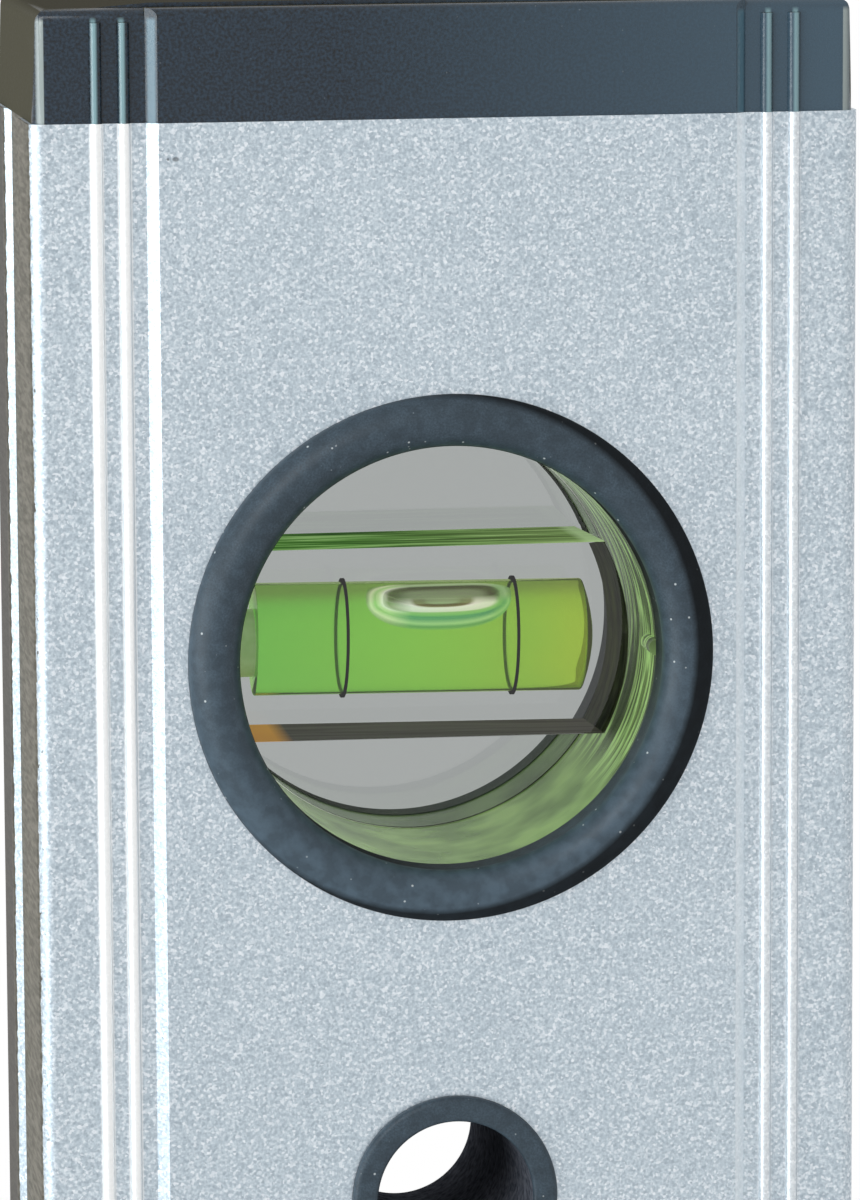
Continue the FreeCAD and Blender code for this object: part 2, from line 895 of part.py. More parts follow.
def door_spaces():
    """The seat of the battery door, the trough of its hinge, the pin holes and the nail notch."""
    half_x = door_half_x() + door_gap
    low = door_low_z() - door_gap
    high = hinge_z() + door_thickness + door_gap
    trough = door_thickness + door_gap
    pin_reach = door_half_x() + hinge_pin_length + hinge_clearance
    face = panel_y + 1
    return [
        block(-half_x, half_x, door_inner_y() - door_seat_gap, face, low, high),
        block(-half_x, half_x, door_inner_y() - trough, face, hinge_z() - trough, high),
        rod(
            hinge_pin_radius + hinge_clearance, 2 * pin_reach,
            Vector(-pin_reach, door_inner_y(), hinge_z()), X_AXIS,
        ),
        rod(notch_nail_radius, panel_y, Vector(0, door_inner_y() - door_seat_gap, low), Y_AXIS),
    ]


def make_door():
    """The battery door: a plate with a hinge barrel and pins at its upper end and a ribbed grip."""
    half_x = door_half_x()
    inner = door_inner_y()
    outer = inner + door_thickness
    plate = block(-half_x, half_x, inner, outer, door_low_z(), hinge_z())
    axis = Vector(-half_x, inner, hinge_z())
    barrel = rod(door_thickness, 2 * half_x, axis, X_AXIS)
    pins = rod(
        hinge_pin_radius, 2 * (half_x + hinge_pin_length), axis - Vector(hinge_pin_length, 0, 0), X_AXIS
    )
    door = fused([plate, barrel, pins])
    grooves = []
    for i in range(grip_ribs):
        z = door_low_z() + grip_margin + i * grip_pitch
        grooves.append(
            rod(grip_rib_radius, 2 * (half_x - grip_inset), Vector(-half_x + grip_inset, outer, z), X_AXIS)
        )
    return door.cut(grooves)


def cell_spots():
    """X, direction of the plus end and lowest Z of each cell."""
    half = bay()["half_z"] - contact_thickness
    plus_up = module_centre + half - contact_gap - cell_length
    plus_down = module_centre - half + contact_gap
    return {
        "battery_cell_left": (-cell_spacing / 2, 1, plus_up),
        "battery_cell_right": (cell_spacing / 2, -1, plus_down),
    }


def cell_y():
    """Depth of the cells' axes, just clear of the bay's floor."""
    return bay()["floor"] + cell_gap + cell_radius


def make_cell(spot):
    """One small round cell with its plus nub."""
    x, up, low = spot
    can_low = low if up > 0 else low + cell_nub_height
    can = rod(cell_radius, cell_length - cell_nub_height, Vector(x, cell_y(), can_low), Z_AXIS)
    nub_low = low + cell_length - cell_nub_height if up > 0 else low
    return fused([can, rod(cell_nub_radius, cell_nub_height, Vector(x, cell_y(), nub_low), Z_AXIS)])


def make_contacts():
    """The four contact plates, one at each end of each cell."""
    half = contact_size / 2
    plates = []
    for x, _up, _low in cell_spots().values():
        for end in (-1, 1):
            wall = module_centre + end * bay()["half_z"]
            near, far = sorted((wall, wall - end * contact_thickness))
            plates.append(block(x - half, x + half, cell_y() - half, cell_y() + half, near, far))
    return Part.makeCompound(plates)


def make_springs():
    """A bowed leaf spring behind the flat end of each cell, standing on its contact plate."""
    springs = []
    half = spring_span / 2
    for x, up, low in cell_spots().values():
        foot = low - spring_length if up > 0 else low + cell_length + spring_length
        side = spring_width / 2
        bows = []
        for thickness in (0, spring_thickness):
            feet = [Vector(-side, way * (half - thickness), 0) for way in (-1, 1)]
            crest = Vector(-side, 0, spring_length - thickness)
            bows.append(Part.Arc(feet[0], crest, feet[1]).toShape())
        soles = [
            Part.LineSegment(bows[0].Vertexes[i].Point, bows[1].Vertexes[i].Point).toShape() for i in (0, 1)
        ]
        outline = Part.Wire([bows[0], soles[1], bows[1], soles[0]])
        spring = Part.Face(outline).extrude(Vector(spring_width, 0, 0))
        if up < 0:
            spring = spring.mirror(Vector(), Z_AXIS)
        spring.translate(Vector(x, cell_y(), foot))
        springs.append(spring)
    return Part.makeCompound(springs)


def make_key(x, z):
    """A key cap with the lip behind the bezel that keeps it in."""
    y = module_y()
    half_x = key_width / 2
    half_z = key_length / 2
    lip_front = y["plate_back"] + key_lip_gap
    cap = rounded_block(
        x - half_x, x + half_x, y["face"] - key_height, lip_front, z - half_z, z + half_z,
        key_radius, Y_AXIS,
    )
    crown = [e for e in cap.Edges if e.BoundBox.YMax < y["face"] - key_height + 1e-3]
    cap = cap.makeChamfer(key_bevel, crown)
    lip = block(
        x - half_x - key_lip, x + half_x + key_lip, lip_front, lip_front + key_lip_thickness,
        z - half_z - key_lip, z + half_z + key_lip,
    )
    return fused([cap, lip])


def switch_top():
    """Depth of a switch's plunger, which the key reaches at the end of its travel."""
    return module_y()["plate_back"] + key_lip_gap + key_lip_thickness + key_travel + key_stop_gap


def make_switches():
    """The four key switches on the board."""
    front = switch_top() + switch_plunger_height
    board = module_y()["board_front"]
    half = switch_size / 2
    switches = []
    for x, z in key_places().values():
        body = block(x - half, x + half, front, board, z - half, z + half)
        tip = switch_plunger_size / 2
        plunger = block(x - tip, x + tip, switch_top(), front, z - tip, z + tip)
        switches.append(fused([body, plunger]))
    return Part.makeCompound(switches)


def display_pieces():
    """Lens, glass panel and the two contact strips between the panel and the board."""
    y = module_y()
    z = display_z
    lens = rounded_block(
        -lens_width / 2, lens_width / 2, y["face"], y["lens_back"],
        z - lens_length / 2, z + lens_length / 2, lens_radius, Y_AXIS,
    )
    half_x = lens_width / 2 - panel_inset
    half_z = lens_length / 2 - panel_inset
    glass = block(-half_x, half_x, y["glass_front"], y["glass_back"], z - half_z, z + half_z)
    strips = []
    for side in (-1, 1):
        near, far = sorted((side * half_x, side * (half_x - strip_width)))
        strips.append(block(near, far, y["glass_back"], y["board_front"], z - half_z, z + half_z))
    return {
        "display_lens": lens,
        "display_panel": glass,
        "display_contact_strips": Part.makeCompound(strips),
    }


def board_pieces():
    """The circuit board with its processor, tilt sensor and buzzer."""
    y = module_y()
    back = y["board_back"]
    half_x = board_half_x()
    top = module_centre + board_half_z()
    low = module_centre - board_half_z()
    board = block(-half_x, half_x, y["board_front"], back, low, top)
    half = chip_size / 2
    chip_z = top - chip_drop
    chip = block(-half, half, back, back + chip_height, chip_z - half, chip_z + half)
    sensor = rod(sensor_radius, sensor_height, Vector(0, back, top - sensor_drop), Y_AXIS)
    buzzer = rod(buzzer_radius, buzzer_height, Vector(0, back, low + buzzer_rise), Y_AXIS)
    return {
        "circuit_board": board,
        "processor_chip": chip,
        "tilt_sensor": sensor,
        "buzzer": buzzer,
    }


def build():
    """Every piece of the level by name."""
    cap = make_cap()
    pieces = {
        "body_profile": make_body(),
        "upper_end_cap": place_cap(cap, True),
        "lower_end_cap": place_cap(cap, False),
        "plumb_ring_front": make_window_ring(-1),
        "plumb_ring_rear": make_window_ring(1),
        "plumb_vial_sleeve": make_sleeve(),
        "hang_bush_front": make_bush(-1),
        "hang_bush_rear": make_bush(1),
        "level_vial_frame": make_level_frame(),
        "level_vial_cover": make_level_cover(),
        "module_bezel": make_bezel(),
        "module_tray": make_tray(),
        "module_screws": make_screws(),
        "key_switches": make_switches(),
        "battery_contacts": make_contacts(),
        "battery_springs": make_springs(),
        "battery_door": make_door(),
    }
    pieces.update(plumb_pieces())
    pieces.update(level_pieces())
    pieces.update(display_pieces())
    pieces.update(board_pieces())
    for name, (x, z) in key_places().items():
        pieces[name] = make_key(x, z)
    for name, spot in cell_spots().items():
        pieces[name] = make_cell(spot)
    return pieces


def main():
    """Writes one STEP file for each piece."""
    os.makedirs("parts", exist_ok=True)
    for name, shape in build().items():
        shape.exportStep(f"parts/{name}.step")
        print(f"{name}: {len(shape.Solids)} solids, {shape.Volume:.1f} mm3, valid {shape.isValid()}")


main()
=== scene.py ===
# %% [markdown]
# # Digital spirit level: the looks
#
# The level stands on its lower end cap. An aluminium box profile carries everything: two black end
# caps, a round window with the plumb vial, a bushed hanging hole, an edge vial, and a module with a
# display and four keys. The solids come from the frame at their real size. This file gives each of
# them its finish, and rebuilds the pieces that need rounder edges or optics than a plain solid has.

# %% Frame
import bmesh
import bpy
import math
from mathutils import Matrix, Vector


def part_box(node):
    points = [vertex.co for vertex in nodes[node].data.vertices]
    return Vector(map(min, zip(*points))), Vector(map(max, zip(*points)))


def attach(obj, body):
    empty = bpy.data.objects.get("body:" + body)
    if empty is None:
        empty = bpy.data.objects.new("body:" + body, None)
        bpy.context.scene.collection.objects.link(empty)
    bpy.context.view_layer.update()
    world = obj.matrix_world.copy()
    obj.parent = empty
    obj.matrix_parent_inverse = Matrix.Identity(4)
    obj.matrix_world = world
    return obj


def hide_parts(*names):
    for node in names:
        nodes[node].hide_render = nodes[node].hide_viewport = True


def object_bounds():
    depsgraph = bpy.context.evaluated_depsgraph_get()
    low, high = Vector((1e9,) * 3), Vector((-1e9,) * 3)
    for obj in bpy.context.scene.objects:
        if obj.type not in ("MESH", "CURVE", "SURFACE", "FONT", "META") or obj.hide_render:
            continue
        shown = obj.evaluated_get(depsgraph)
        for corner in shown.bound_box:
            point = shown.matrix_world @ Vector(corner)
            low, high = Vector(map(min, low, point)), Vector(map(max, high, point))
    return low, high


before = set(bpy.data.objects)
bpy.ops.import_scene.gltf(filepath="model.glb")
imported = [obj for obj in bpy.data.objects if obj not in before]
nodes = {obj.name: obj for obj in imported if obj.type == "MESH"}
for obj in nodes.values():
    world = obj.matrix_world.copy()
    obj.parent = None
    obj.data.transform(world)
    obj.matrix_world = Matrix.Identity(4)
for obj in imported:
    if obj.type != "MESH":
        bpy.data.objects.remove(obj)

MM = 0.001
solid_low, solid_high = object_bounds()
print("solids:", [round(value / MM, 1) for value in (*solid_low, *solid_high)])

# %% [markdown]
# ## Where things are
#
# Every place below is read from the frame's boxes, so that the new pieces stay on what carries
# them. The window, the hanging hole and the vials give their middles, the rest follows from the
# pieces' own corners.

# %% Places


def middle(node):
    """The middle of a node's box."""
    low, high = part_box(node)
    return (low + high) / 2


window = middle("plumb_vial_sleeve")
hang = middle("hang_bush_front")
panel_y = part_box("hang_bush_rear")[1].y - 0.7 * MM
seam_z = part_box("body_profile")[1].z
for label, height in (("window", window.z), ("hole", hang.z), ("seam", seam_z), ("face", panel_y)):
    print(label, "at", round(height / MM, 2))

# %% [markdown]
# ## Making pieces
#
# Most new pieces are turned: a flat outline is swept once round a line. The outline's corners are
# rounded while it is still flat, because a bevel on one flat corner is exact and cheap. The face
# that held the outline is removed before the sweep, so that no wall is left inside.

# %% Pieces


def keep(name, bm, finish, body="root", stands_for=(), smooth=35, more=()):
    """Turns a bmesh into a piece that rides on a body. Small rounds blend into their large flat faces."""
    for face in bm.faces:
        face.smooth = True
    for edge in bm.edges:
        folded = len(edge.link_faces) == 2 and edge.calc_face_angle(0) > math.radians(smooth)
        edge.smooth = not folded
    mesh = bpy.data.meshes.new(name)
    bm.to_mesh(mesh)
    bm.free()
    for material in (finish, *more):
        mesh.materials.append(material)
    piece = bpy.data.objects.new(name, mesh)
    bpy.context.collection.objects.link(piece)
    shading = piece.modifiers.new("flat_faces_stay_flat", "WEIGHTED_NORMAL")
    shading.keep_sharp = True
    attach(piece, body)
    if stands_for:
        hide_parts(*stands_for)
    print(f"{name}: {len(mesh.polygons)} faces")
    return piece


def turn(outline, rounds, centre, axis, side, steps=128, segments=6):
    """Sweeps an outline of (radius, height) points round an axis. Rounds gives corner radii by index."""
    bm = bmesh.new()
    corners = [bm.verts.new(centre + side * radius + axis * height) for radius, height in outline]
    bm.faces.new(corners)
    for index, radius in rounds.items():
        bmesh.ops.bevel(
            bm, geom=[corners[index]], offset=radius, offset_type="OFFSET", segments=segments,
            profile=0.5, affect="VERTICES", material=-1,
        )
    bmesh.ops.delete(bm, geom=bm.faces[:], context="FACES_ONLY")
    bmesh.ops.spin(
        bm, geom=bm.verts[:] + bm.edges[:], angle=2 * math.pi, steps=steps, use_merge=True,
        use_duplicate=False, axis=axis, cent=centre,
    )
    bmesh.ops.remove_doubles(bm, verts=bm.verts[:], dist=1e-7)
    bmesh.ops.recalc_face_normals(bm, faces=bm.faces[:])
    return bm


def copy_of(node):
    """A merged copy of a CAD node's mesh, for pieces whose curved walls need smooth shading."""
    bm = bmesh.new()
    bm.from_mesh(nodes[node].data)
    bmesh.ops.remove_doubles(bm, verts=bm.verts[:], dist=1e-6)
    return bm


X, Y, Z = Vector((1, 0, 0)), Vector((0, 1, 0)), Vector((0, 0, 1))

# %% [markdown]
# ## Finishes
#
# A finish is a Principled shader with a pattern in front of it. Patterns read Object coordinates,
# because every piece lies at the origin in real size: one unit is one metre, so a grain of
# 0.2 mm has a scale of 5000. Two short helpers add nodes and join them.

# %% Shader helpers


def new_finish(name, **inputs):
    """A material and its Principled shader, with plain numbers set on the shader's own sockets."""
    made = bpy.data.materials.new(name)
    made.use_nodes = True
    shader = made.node_tree.nodes["Principled BSDF"]
    for label, value in inputs.items():
        shader.inputs[label.replace("_", " ")].default_value = value
    return made, made.node_tree, shader


def add(tree, kind, inputs=None, **settings):
    """Adds a node. Inputs are numbers, colours or sockets to join."""
    made = tree.nodes.new(kind)
    for label, value in settings.items():
        setattr(made, label, value)
    for label, value in (inputs or {}).items():
        if isinstance(value, bpy.types.NodeSocket):
            tree.links.new(value, made.inputs[label])
        else:
            made.inputs[label].default_value = value
    return made


def place(tree):
    """The Object coordinates socket."""
    return add(tree, "ShaderNodeTexCoord").outputs["Object"]


def grain(tree, size, detail=2.0, stretch=(1, 1, 1)):
    """Noise whose grains are about one size across, in metres."""
    spot = add(tree, "ShaderNodeMapping", {"Vector": place(tree), "Scale": stretch}).outputs[0]
    noise = add(tree, "ShaderNodeTexNoise", {"Vector": spot, "Scale": 1 / size, "Detail": detail})
    return noise.outputs["Fac"]


def ramp(tree, factor, stops):
    """Colours by factor. Stops are (position, colour)."""
    made = add(tree, "ShaderNodeValToRGB", {"Fac": factor})
    made.color_ramp.elements[0].position = stops[0][0]
    made.color_ramp.elements[1].position = stops[-1][0]
    for position, _colour in stops[1:-1]:
        made.color_ramp.elements.new(position)
    for element, (_position, colour) in zip(made.color_ramp.elements, stops):
        element.color = (*colour, 1)
    return made.outputs["Color"]


def span(tree, factor, low, high, to_low=0.0, to_high=1.0):
    """Stretches a factor between two numbers, and clamps it."""
    made = add(
        tree, "ShaderNodeMapRange",
        {"Value": factor, "From Min": low, "From Max": high, "To Min": to_low, "To Max": to_high},
    )
    return made.outputs["Result"]


def blend(tree, factor, first, second):
    """Mixes two colours."""
    made = add(tree, "ShaderNodeMix", data_type="RGBA")
    for index, value in ((0, factor), (6, first), (7, second)):
        if isinstance(value, bpy.types.NodeSocket):
            tree.links.new(value, made.inputs[index])
        else:
            made.inputs[index].default_value = value if index == 0 else (*value, 1)
    return made.outputs[2]


def sums(tree, kind, first, second=0.0):
    """One step of arithmetic on numbers or sockets."""
    return add(tree, "ShaderNodeMath", {0: first, 1: second}, operation=kind).outputs[0]


def plus(tree, first, second):
    return sums(tree, "ADD", first, second)


def minus(tree, first, second):
    return sums(tree, "SUBTRACT", first, second)


def times(tree, first, second):
    return sums(tree, "MULTIPLY", first, second)


def apart(tree, first, second=0.0):
    """How far two numbers lie apart."""
    return sums(tree, "ABSOLUTE", minus(tree, first, second))


def relief(tree, shader, height, depth, strength=1.0):
    """Bump from a height pattern, with its depth in metres."""
    made = add(tree, "ShaderNodeBump", {"Height": height, "Distance": depth, "Strength": strength})
    tree.links.new(made.outputs["Normal"], shader.inputs["Normal"])


def axis_of(tree, letter):
    """One of the Object coordinates as a number."""
    return add(tree, "ShaderNodeSeparateXYZ", {"Vector": place(tree)}).outputs[letter]

# %% [markdown]
# ## The painted aluminium
#
# The profile is sprayed with a silver paint that holds fine metal flakes. Close up it is a grain
# of light and dark specks of about a quarter of a millimetre, with a few flakes that flash. The
# flakes tilt a little, which a shallow bump copies. The bead crests and the right panel slope carry
# a painted highlight. The lands of the measuring face are milled bare after painting: they are
# browner, partly as bare metal and partly as a painted reflection, with fine lines across and
# painted shade on their rear part. Their front edge has lost small chips of paint along the
# profile's whole length.

# %% Silver paint


OUTER_BEAD, INNER_BEAD = 25.2 * MM, 23.2 * MM
CHANNEL_DEPTH, CHANNEL_HALF = 0.6 * MM, 4.4 * MM
PANEL_SLOPE = 21.25 * MM
CORNER_LINE = 28.85 * MM


def silver_paint():
    made, tree, shader = new_finish("silver_paint", Metallic=0.78, IOR=1.5)
    fine = grain(tree, 0.24 * MM, 3.0)
    cloud = grain(tree, 9 * MM, 2.0)
    level = plus(tree, fine, times(tree, minus(tree, cloud, 0.5), 0.10))
    paint = ramp(tree, level, [
        (0.30, (0.39, 0.465, 0.525)), (0.52, (0.53, 0.61, 0.67)), (0.74, (0.74, 0.805, 0.85)),
    ])
    flakes = add(tree, "ShaderNodeTexVoronoi", {"Vector": place(tree), "Scale": 1 / (0.19 * MM)})
    flash = add(tree, "ShaderNodeSeparateColor", {"Color": flakes.outputs["Color"]}).outputs["Red"]
    bright = span(tree, flash, 0.72, 1.0, 0.0, 0.65)
    dim = span(tree, flash, 0.30, 0.0, 0.0, 0.42)
    paint = blend(tree, bright, paint, (0.93, 0.96, 1.0))
    paint = blend(tree, dim, paint, (0.26, 0.32, 0.38))
    # painted highlight along the bead crests, weaker on the right half, where less light falls
    from_middle = sums(tree, "ABSOLUTE", axis_of(tree, "X"))
    to_outer = apart(tree, from_middle, OUTER_BEAD)
    to_inner = apart(tree, from_middle, INNER_BEAD)
    crest_highlight = span(tree, sums(tree, "MINIMUM", to_outer, to_inner), 0.56 * MM, 0.44 * MM, 0.0, 0.85)
    crest_highlight = times(tree, crest_highlight, span(tree, axis_of(tree, "X"), -1 * MM, 1 * MM, 1.0, 0.45))
    paint = blend(tree, crest_highlight, paint, (0.97, 0.97, 0.96))
    # painted highlight on the right panel slope
    off_slope = apart(tree, axis_of(tree, "X"), PANEL_SLOPE)
    paint = blend(tree, span(tree, off_slope, 0.42 * MM, 0.34 * MM, 0.0, 0.6), paint, (0.90, 0.94, 0.96))
    # milled lands: within a tenth of a millimetre of the measuring face
    depth = minus(tree, axis_of(tree, "X"), solid_low.x)
    worn = times(tree, grain(tree, 0.45 * MM, 3.0, (1, 1, 0.6)), 0.22 * MM)
    bare = span(tree, minus(tree, depth, worn), 0.02 * MM, 0.0)
    off_floor = apart(tree, depth, CHANNEL_DEPTH)
    across = sums(tree, "ABSOLUTE", axis_of(tree, "Y"))
    in_channel = span(tree, across, CHANNEL_HALF + 0.02 * MM, CHANNEL_HALF - 0.02 * MM)
    floor = times(tree, span(tree, off_floor, 0.05 * MM, 0.03 * MM), in_channel)
    bare = sums(tree, "MAXIMUM", bare, floor)
    # the milled brown is partly bare metal and partly a painted reflection
    lines = grain(tree, 0.35 * MM, 2.0, (1, 0.15, 1))
    milled = ramp(tree, lines, [(0.35, (0.10, 0.092, 0.07)), (0.65, (0.20, 0.185, 0.15))])
    # painted shade on the rear part of the milled lands
    shaded = span(tree, axis_of(tree, "Y"), 4.0 * MM, 6.0 * MM, 0.0, 0.8)
    milled = blend(tree, shaded, milled, (0.055, 0.05, 0.045))
    paint = blend(tree, bare, paint, milled)
    # chips along the front edge of the measuring face
    chips = grain(tree, 0.55 * MM, 4.0, (1, 1, 0.7))
    near_x = span(tree, depth, 0.75 * MM, 0.30 * MM)
    near_y = span(tree, axis_of(tree, "Y"), -10.2 * MM, -10.7 * MM)
    edge = times(tree, near_x, near_y)
    chipped = times(tree, edge, span(tree, chips, 0.66, 0.69))
    paint = blend(tree, chipped, paint, (0.10, 0.095, 0.085))
    # two small dark marks near the upper end of the front face
    in_front = span(tree, axis_of(tree, "Y"), 0.0, -1 * MM)
    for mark_x, long, high in ((-19.65 * MM, 0.25 * MM, 0.17 * MM), (-20.2 * MM, 0.10 * MM, 0.10 * MM)):
        off_x = sums(tree, "DIVIDE", minus(tree, axis_of(tree, "X"), mark_x), long)
        off_z = sums(tree, "DIVIDE", minus(tree, axis_of(tree, "Z"), seam_z - 2.55 * MM), high)
        off_mark = plus(tree, times(tree, off_x, off_x), times(tree, off_z, off_z))
        mark = times(tree, span(tree, off_mark, 1.3, 0.5, 0.0, 0.7), in_front)
        paint = blend(tree, mark, paint, (0.10, 0.11, 0.12))
    tree.links.new(paint, shader.inputs["Base Color"])
    tree.links.new(span(tree, bare, 0, 1, 0.78, 0.35), shader.inputs["Metallic"])
    rough = plus(tree, span(tree, fine, 0.3, 0.7, 0.34, 0.50), times(tree, bare, 0.25))
    tree.links.new(rough, shader.inputs["Roughness"])
    relief(tree, shader, fine, 0.035 * MM, 0.5)
    return made


paint = silver_paint()

# %% [markdown]
# ## The black mouldings
#
# Caps, bezel, vial frame and door are moulded from one black plastic with a spark-eroded texture:
# a very fine grain with a few paler specks of dust. The window rings and the bush are softer to
# the touch, so their gloss is broader and their black a little bluer.

# %% Black plastics


def dull_edge(tree, shader, colour, share, painted_shade_place=0.0):
    """Where the surface turns away from the view, and where the last argument says, its shine gives way to
    a flat colour: a painted reflection on the hard mouldings, painted shade on the soft ones.
    """
    turned_away = add(tree, "ShaderNodeLayerWeight", {"Blend": 0.5}).outputs["Facing"]
    flat = add(tree, "ShaderNodeBsdfDiffuse", {"Color": (*colour, 1)})
    lost = sums(tree, "MAXIMUM", span(tree, turned_away, 0.70, 0.88, 0.0, share), painted_shade_place)
    both = add(tree, "ShaderNodeMixShader", {0: lost, 1: shader.outputs[0], 2: flat.outputs[0]})
    tree.links.new(both.outputs[0], tree.nodes["Material Output"].inputs["Surface"])


def ring_marks(tree, base, colour):
    """Ring and bush: painted shade inside, painted light low on the ring, mottled, with lint. Gives the
    colour, and the painted shade on the ring's outer slope.
    """
    # painted shade where ring and bush reach into the profile
    inside = span(tree, apart(tree, axis_of(tree, "Y")), panel_y - 0.4 * MM, panel_y - 1.4 * MM)
    base = blend(tree, inside, base, tuple(0.25 * c for c in colour))
    height = axis_of(tree, "Z")
    # painted light: the ring turns lighter towards its bottom; the bush is left out
    painted_light_low = span(tree, height, window.z + 6 * MM, window.z - 17 * MM, 0.0, 0.9)
    painted_light_low = times(tree, painted_light_low, span(tree, height, hang.z + 8 * MM, hang.z + 11 * MM))
    base = blend(tree, painted_light_low, base, tuple(1.7 * c for c in colour))
    mottled = span(tree, grain(tree, 1.1 * MM, 3.0), 0.38, 0.62, 0.45, 0.0)
    base = blend(tree, mottled, base, tuple(0.45 * c for c in colour))
    lint = add(tree, "ShaderNodeTexVoronoi", {"Vector": place(tree), "Scale": 1 / (0.95 * MM)})
    near = span(tree, lint.outputs["Distance"], 0.11, 0.06)
    chance = add(tree, "ShaderNodeSeparateColor", {"Color": lint.outputs["Color"]}).outputs["Red"]
    base = blend(tree, times(tree, near, span(tree, chance, 0.5, 0.52)), base, (0.55, 0.60, 0.62))
    # painted shade: the ring's outer slope loses its shine and turns dark from the right round to the
    # bottom
    side = minus(tree, axis_of(tree, "X"), window.x)
    rise = minus(tree, height, window.z)
    reach = sums(tree, "SQRT", plus(tree, times(tree, side, side), times(tree, rise, rise)))
    toward = minus(tree, times(tree, side, 0.93), times(tree, rise, 0.37))
    toward = sums(tree, "DIVIDE", toward, reach)
    past = plus(tree, minus(tree, reach, 18.35 * MM), times(tree, toward, 1.1 * MM))
    on_ring = span(tree, reach, 19.6 * MM, 19.3 * MM)
    return base, times(tree, span(tree, past, 0.0, 0.5 * MM, 0.0, 0.85), on_ring)


def ridge_highlights(tree, base):
    """Caps: painted highlights on corners, beads and slopes, and a painted reflection paler to the right.
    Gives the colour, and where the highlights are.
    """
    spot_x = axis_of(tree, "X")
    from_middle = sums(tree, "ABSOLUTE", spot_x)
    # painted reflection: paler and bluer towards the right
    base = blend(tree, span(tree, spot_x, -8 * MM, 28 * MM), base, (0.055, 0.10, 0.14))
    height = axis_of(tree, "Z")
    from_end = sums(tree, "MINIMUM", height, minus(tree, solid_high.z, height))
    short_of_end = span(tree, from_end, 0.9 * MM, 1.2 * MM)
    # painted highlight on the rounded corners of the front and rear faces
    painted_highlight = span(tree, from_middle, 29.96 * MM, 29.9 * MM)
    painted_highlight = times(tree, painted_highlight, span(tree, from_middle, CORNER_LINE - 0.04 * MM, CORNER_LINE))
    across = sums(tree, "ABSOLUTE", axis_of(tree, "Y"))
    painted_highlight = times(tree, painted_highlight, span(tree, across, panel_y - 1.3 * MM, panel_y - 1.0 * MM))
    base = blend(tree, times(tree, painted_highlight, short_of_end), base, (0.38, 0.44, 0.43))
    # painted highlights on the outer side of each bead and on the panel slopes, short of the ends
    crest_shift, crest_half, highlight_grey = 0.12 * MM, 0.27 * MM, (0.29, 0.47, 0.51)
    for place_x, half, grey in (
        (OUTER_BEAD + crest_shift, crest_half, highlight_grey),
        (INNER_BEAD + crest_shift, crest_half, highlight_grey),
        (PANEL_SLOPE, 0.36 * MM, (0.11, 0.22, 0.29)),
    ):
        on_ridge = span(tree, apart(tree, from_middle, place_x), half, half - 0.18 * MM, 0.0, 0.9)
        ridge = times(tree, short_of_end, on_ridge)
        base = blend(tree, ridge, base, grey)
        painted_highlight = sums(tree, "MAXIMUM", painted_highlight, ridge)
    return base, painted_highlight


def black_moulding(
    name, colour, speck, roughness, size, depth, gloss=0.5, contrast=1.7, soft=False, ridges=False
):
    """Black plastic with a moulded grain and dust. Soft is for rings and bush, ridges for the caps."""
    made, tree, shader = new_finish(name, IOR=1.5, Specular_IOR_Level=gloss)
    fine = grain(tree, size, 3.0)
    dust = grain(tree, 0.40 * MM, 2.0)
    dark, light = tuple(c / contrast for c in colour), tuple(c * contrast for c in colour)
    base = ramp(tree, fine, [(0.32, dark), (0.72, light)])
    base = blend(tree, span(tree, dust, 0.76, 0.80, 0.0, 0.8), base, speck)
    rough = span(tree, fine, 0.3, 0.7, roughness - 0.06, roughness + 0.08)
    # at grazing angles the shine gives way to a flat brown-grey, a painted reflection
    edge_colour, edge_share, painted_shade_place = (0.09, 0.084, 0.058), 0.96, 0.0
    if soft:
        # rings and bush: near-black painted shade at grazing angles and on the ring's outer slope
        edge_colour, edge_share = (0.012, 0.012, 0.012), 0.8
        base, painted_shade_place = ring_marks(tree, base, colour)
    if ridges:
        base, painted_highlight = ridge_highlights(tree, base)
        # the painted highlights are glossier too
        rough = times(tree, rough, span(tree, painted_highlight, 0, 1, 1.0, 0.6))
    tree.links.new(base, shader.inputs["Base Color"])
    tree.links.new(rough, shader.inputs["Roughness"])
    dull_edge(tree, shader, edge_colour, edge_share, painted_shade_place)
    relief(tree, shader, fine, depth, 0.6)
    return made


DUST_GREY = (0.30, 0.33, 0.35)
cap_black = black_moulding(
    "cap_black", (0.016, 0.027, 0.038), DUST_GREY, 0.24, 0.22 * MM, 0.02 * MM, 0.5, 2.4
)
cap_head = black_moulding(
    "cap_head", (0.009, 0.018, 0.029), DUST_GREY, 0.26, 0.22 * MM, 0.02 * MM, 0.42, 2.8, ridges=True
)
soft_black = black_moulding(
    "soft_black", (0.052, 0.078, 0.102), (0.42, 0.45, 0.48), 0.42, 0.14 * MM, 0.012 * MM, 0.3, 1.3,
    soft=True,
)
bore_black, tree, shader = new_finish("bore_black", Roughness=0.8, Specular_IOR_Level=0.0)
wall = ramp(tree, grain(tree, 0.5 * MM), [(0.3, (0.05, 0.055, 0.07)), (0.7, (0.15, 0.16, 0.19))])
tree.links.new(wall, shader.inputs["Base Color"])
print("finishes:", paint.name, cap_black.name, soft_black.name)

# %% [markdown]
# ## Profile and caps
#
# These solids already have their true shape. A CAD mesh is loose triangles with flat shading, so a
# merged copy with smooth shading takes its place: the beads and the rounded ends then carry a
# clean line of light, as the extrusion does.

# %% Profile and caps
keep("profile", copy_of("body_profile"), paint, stands_for=["body_profile"])
keep("upper_cap", copy_of("upper_end_cap"), cap_head, stands_for=["upper_end_cap"])
keep("lower_cap", copy_of("lower_end_cap"), cap_head, stands_for=["lower_end_cap"])

# %% [markdown]
# ## Window rings and hanging bush
#
# The ring round the window is a soft black moulding with a full, domed crown. The flat outline has
# eight corners, and wide rounds on the two crown corners make the dome. The bush is two halves that
# meet in the middle of the profile, each with a small rounded flange.

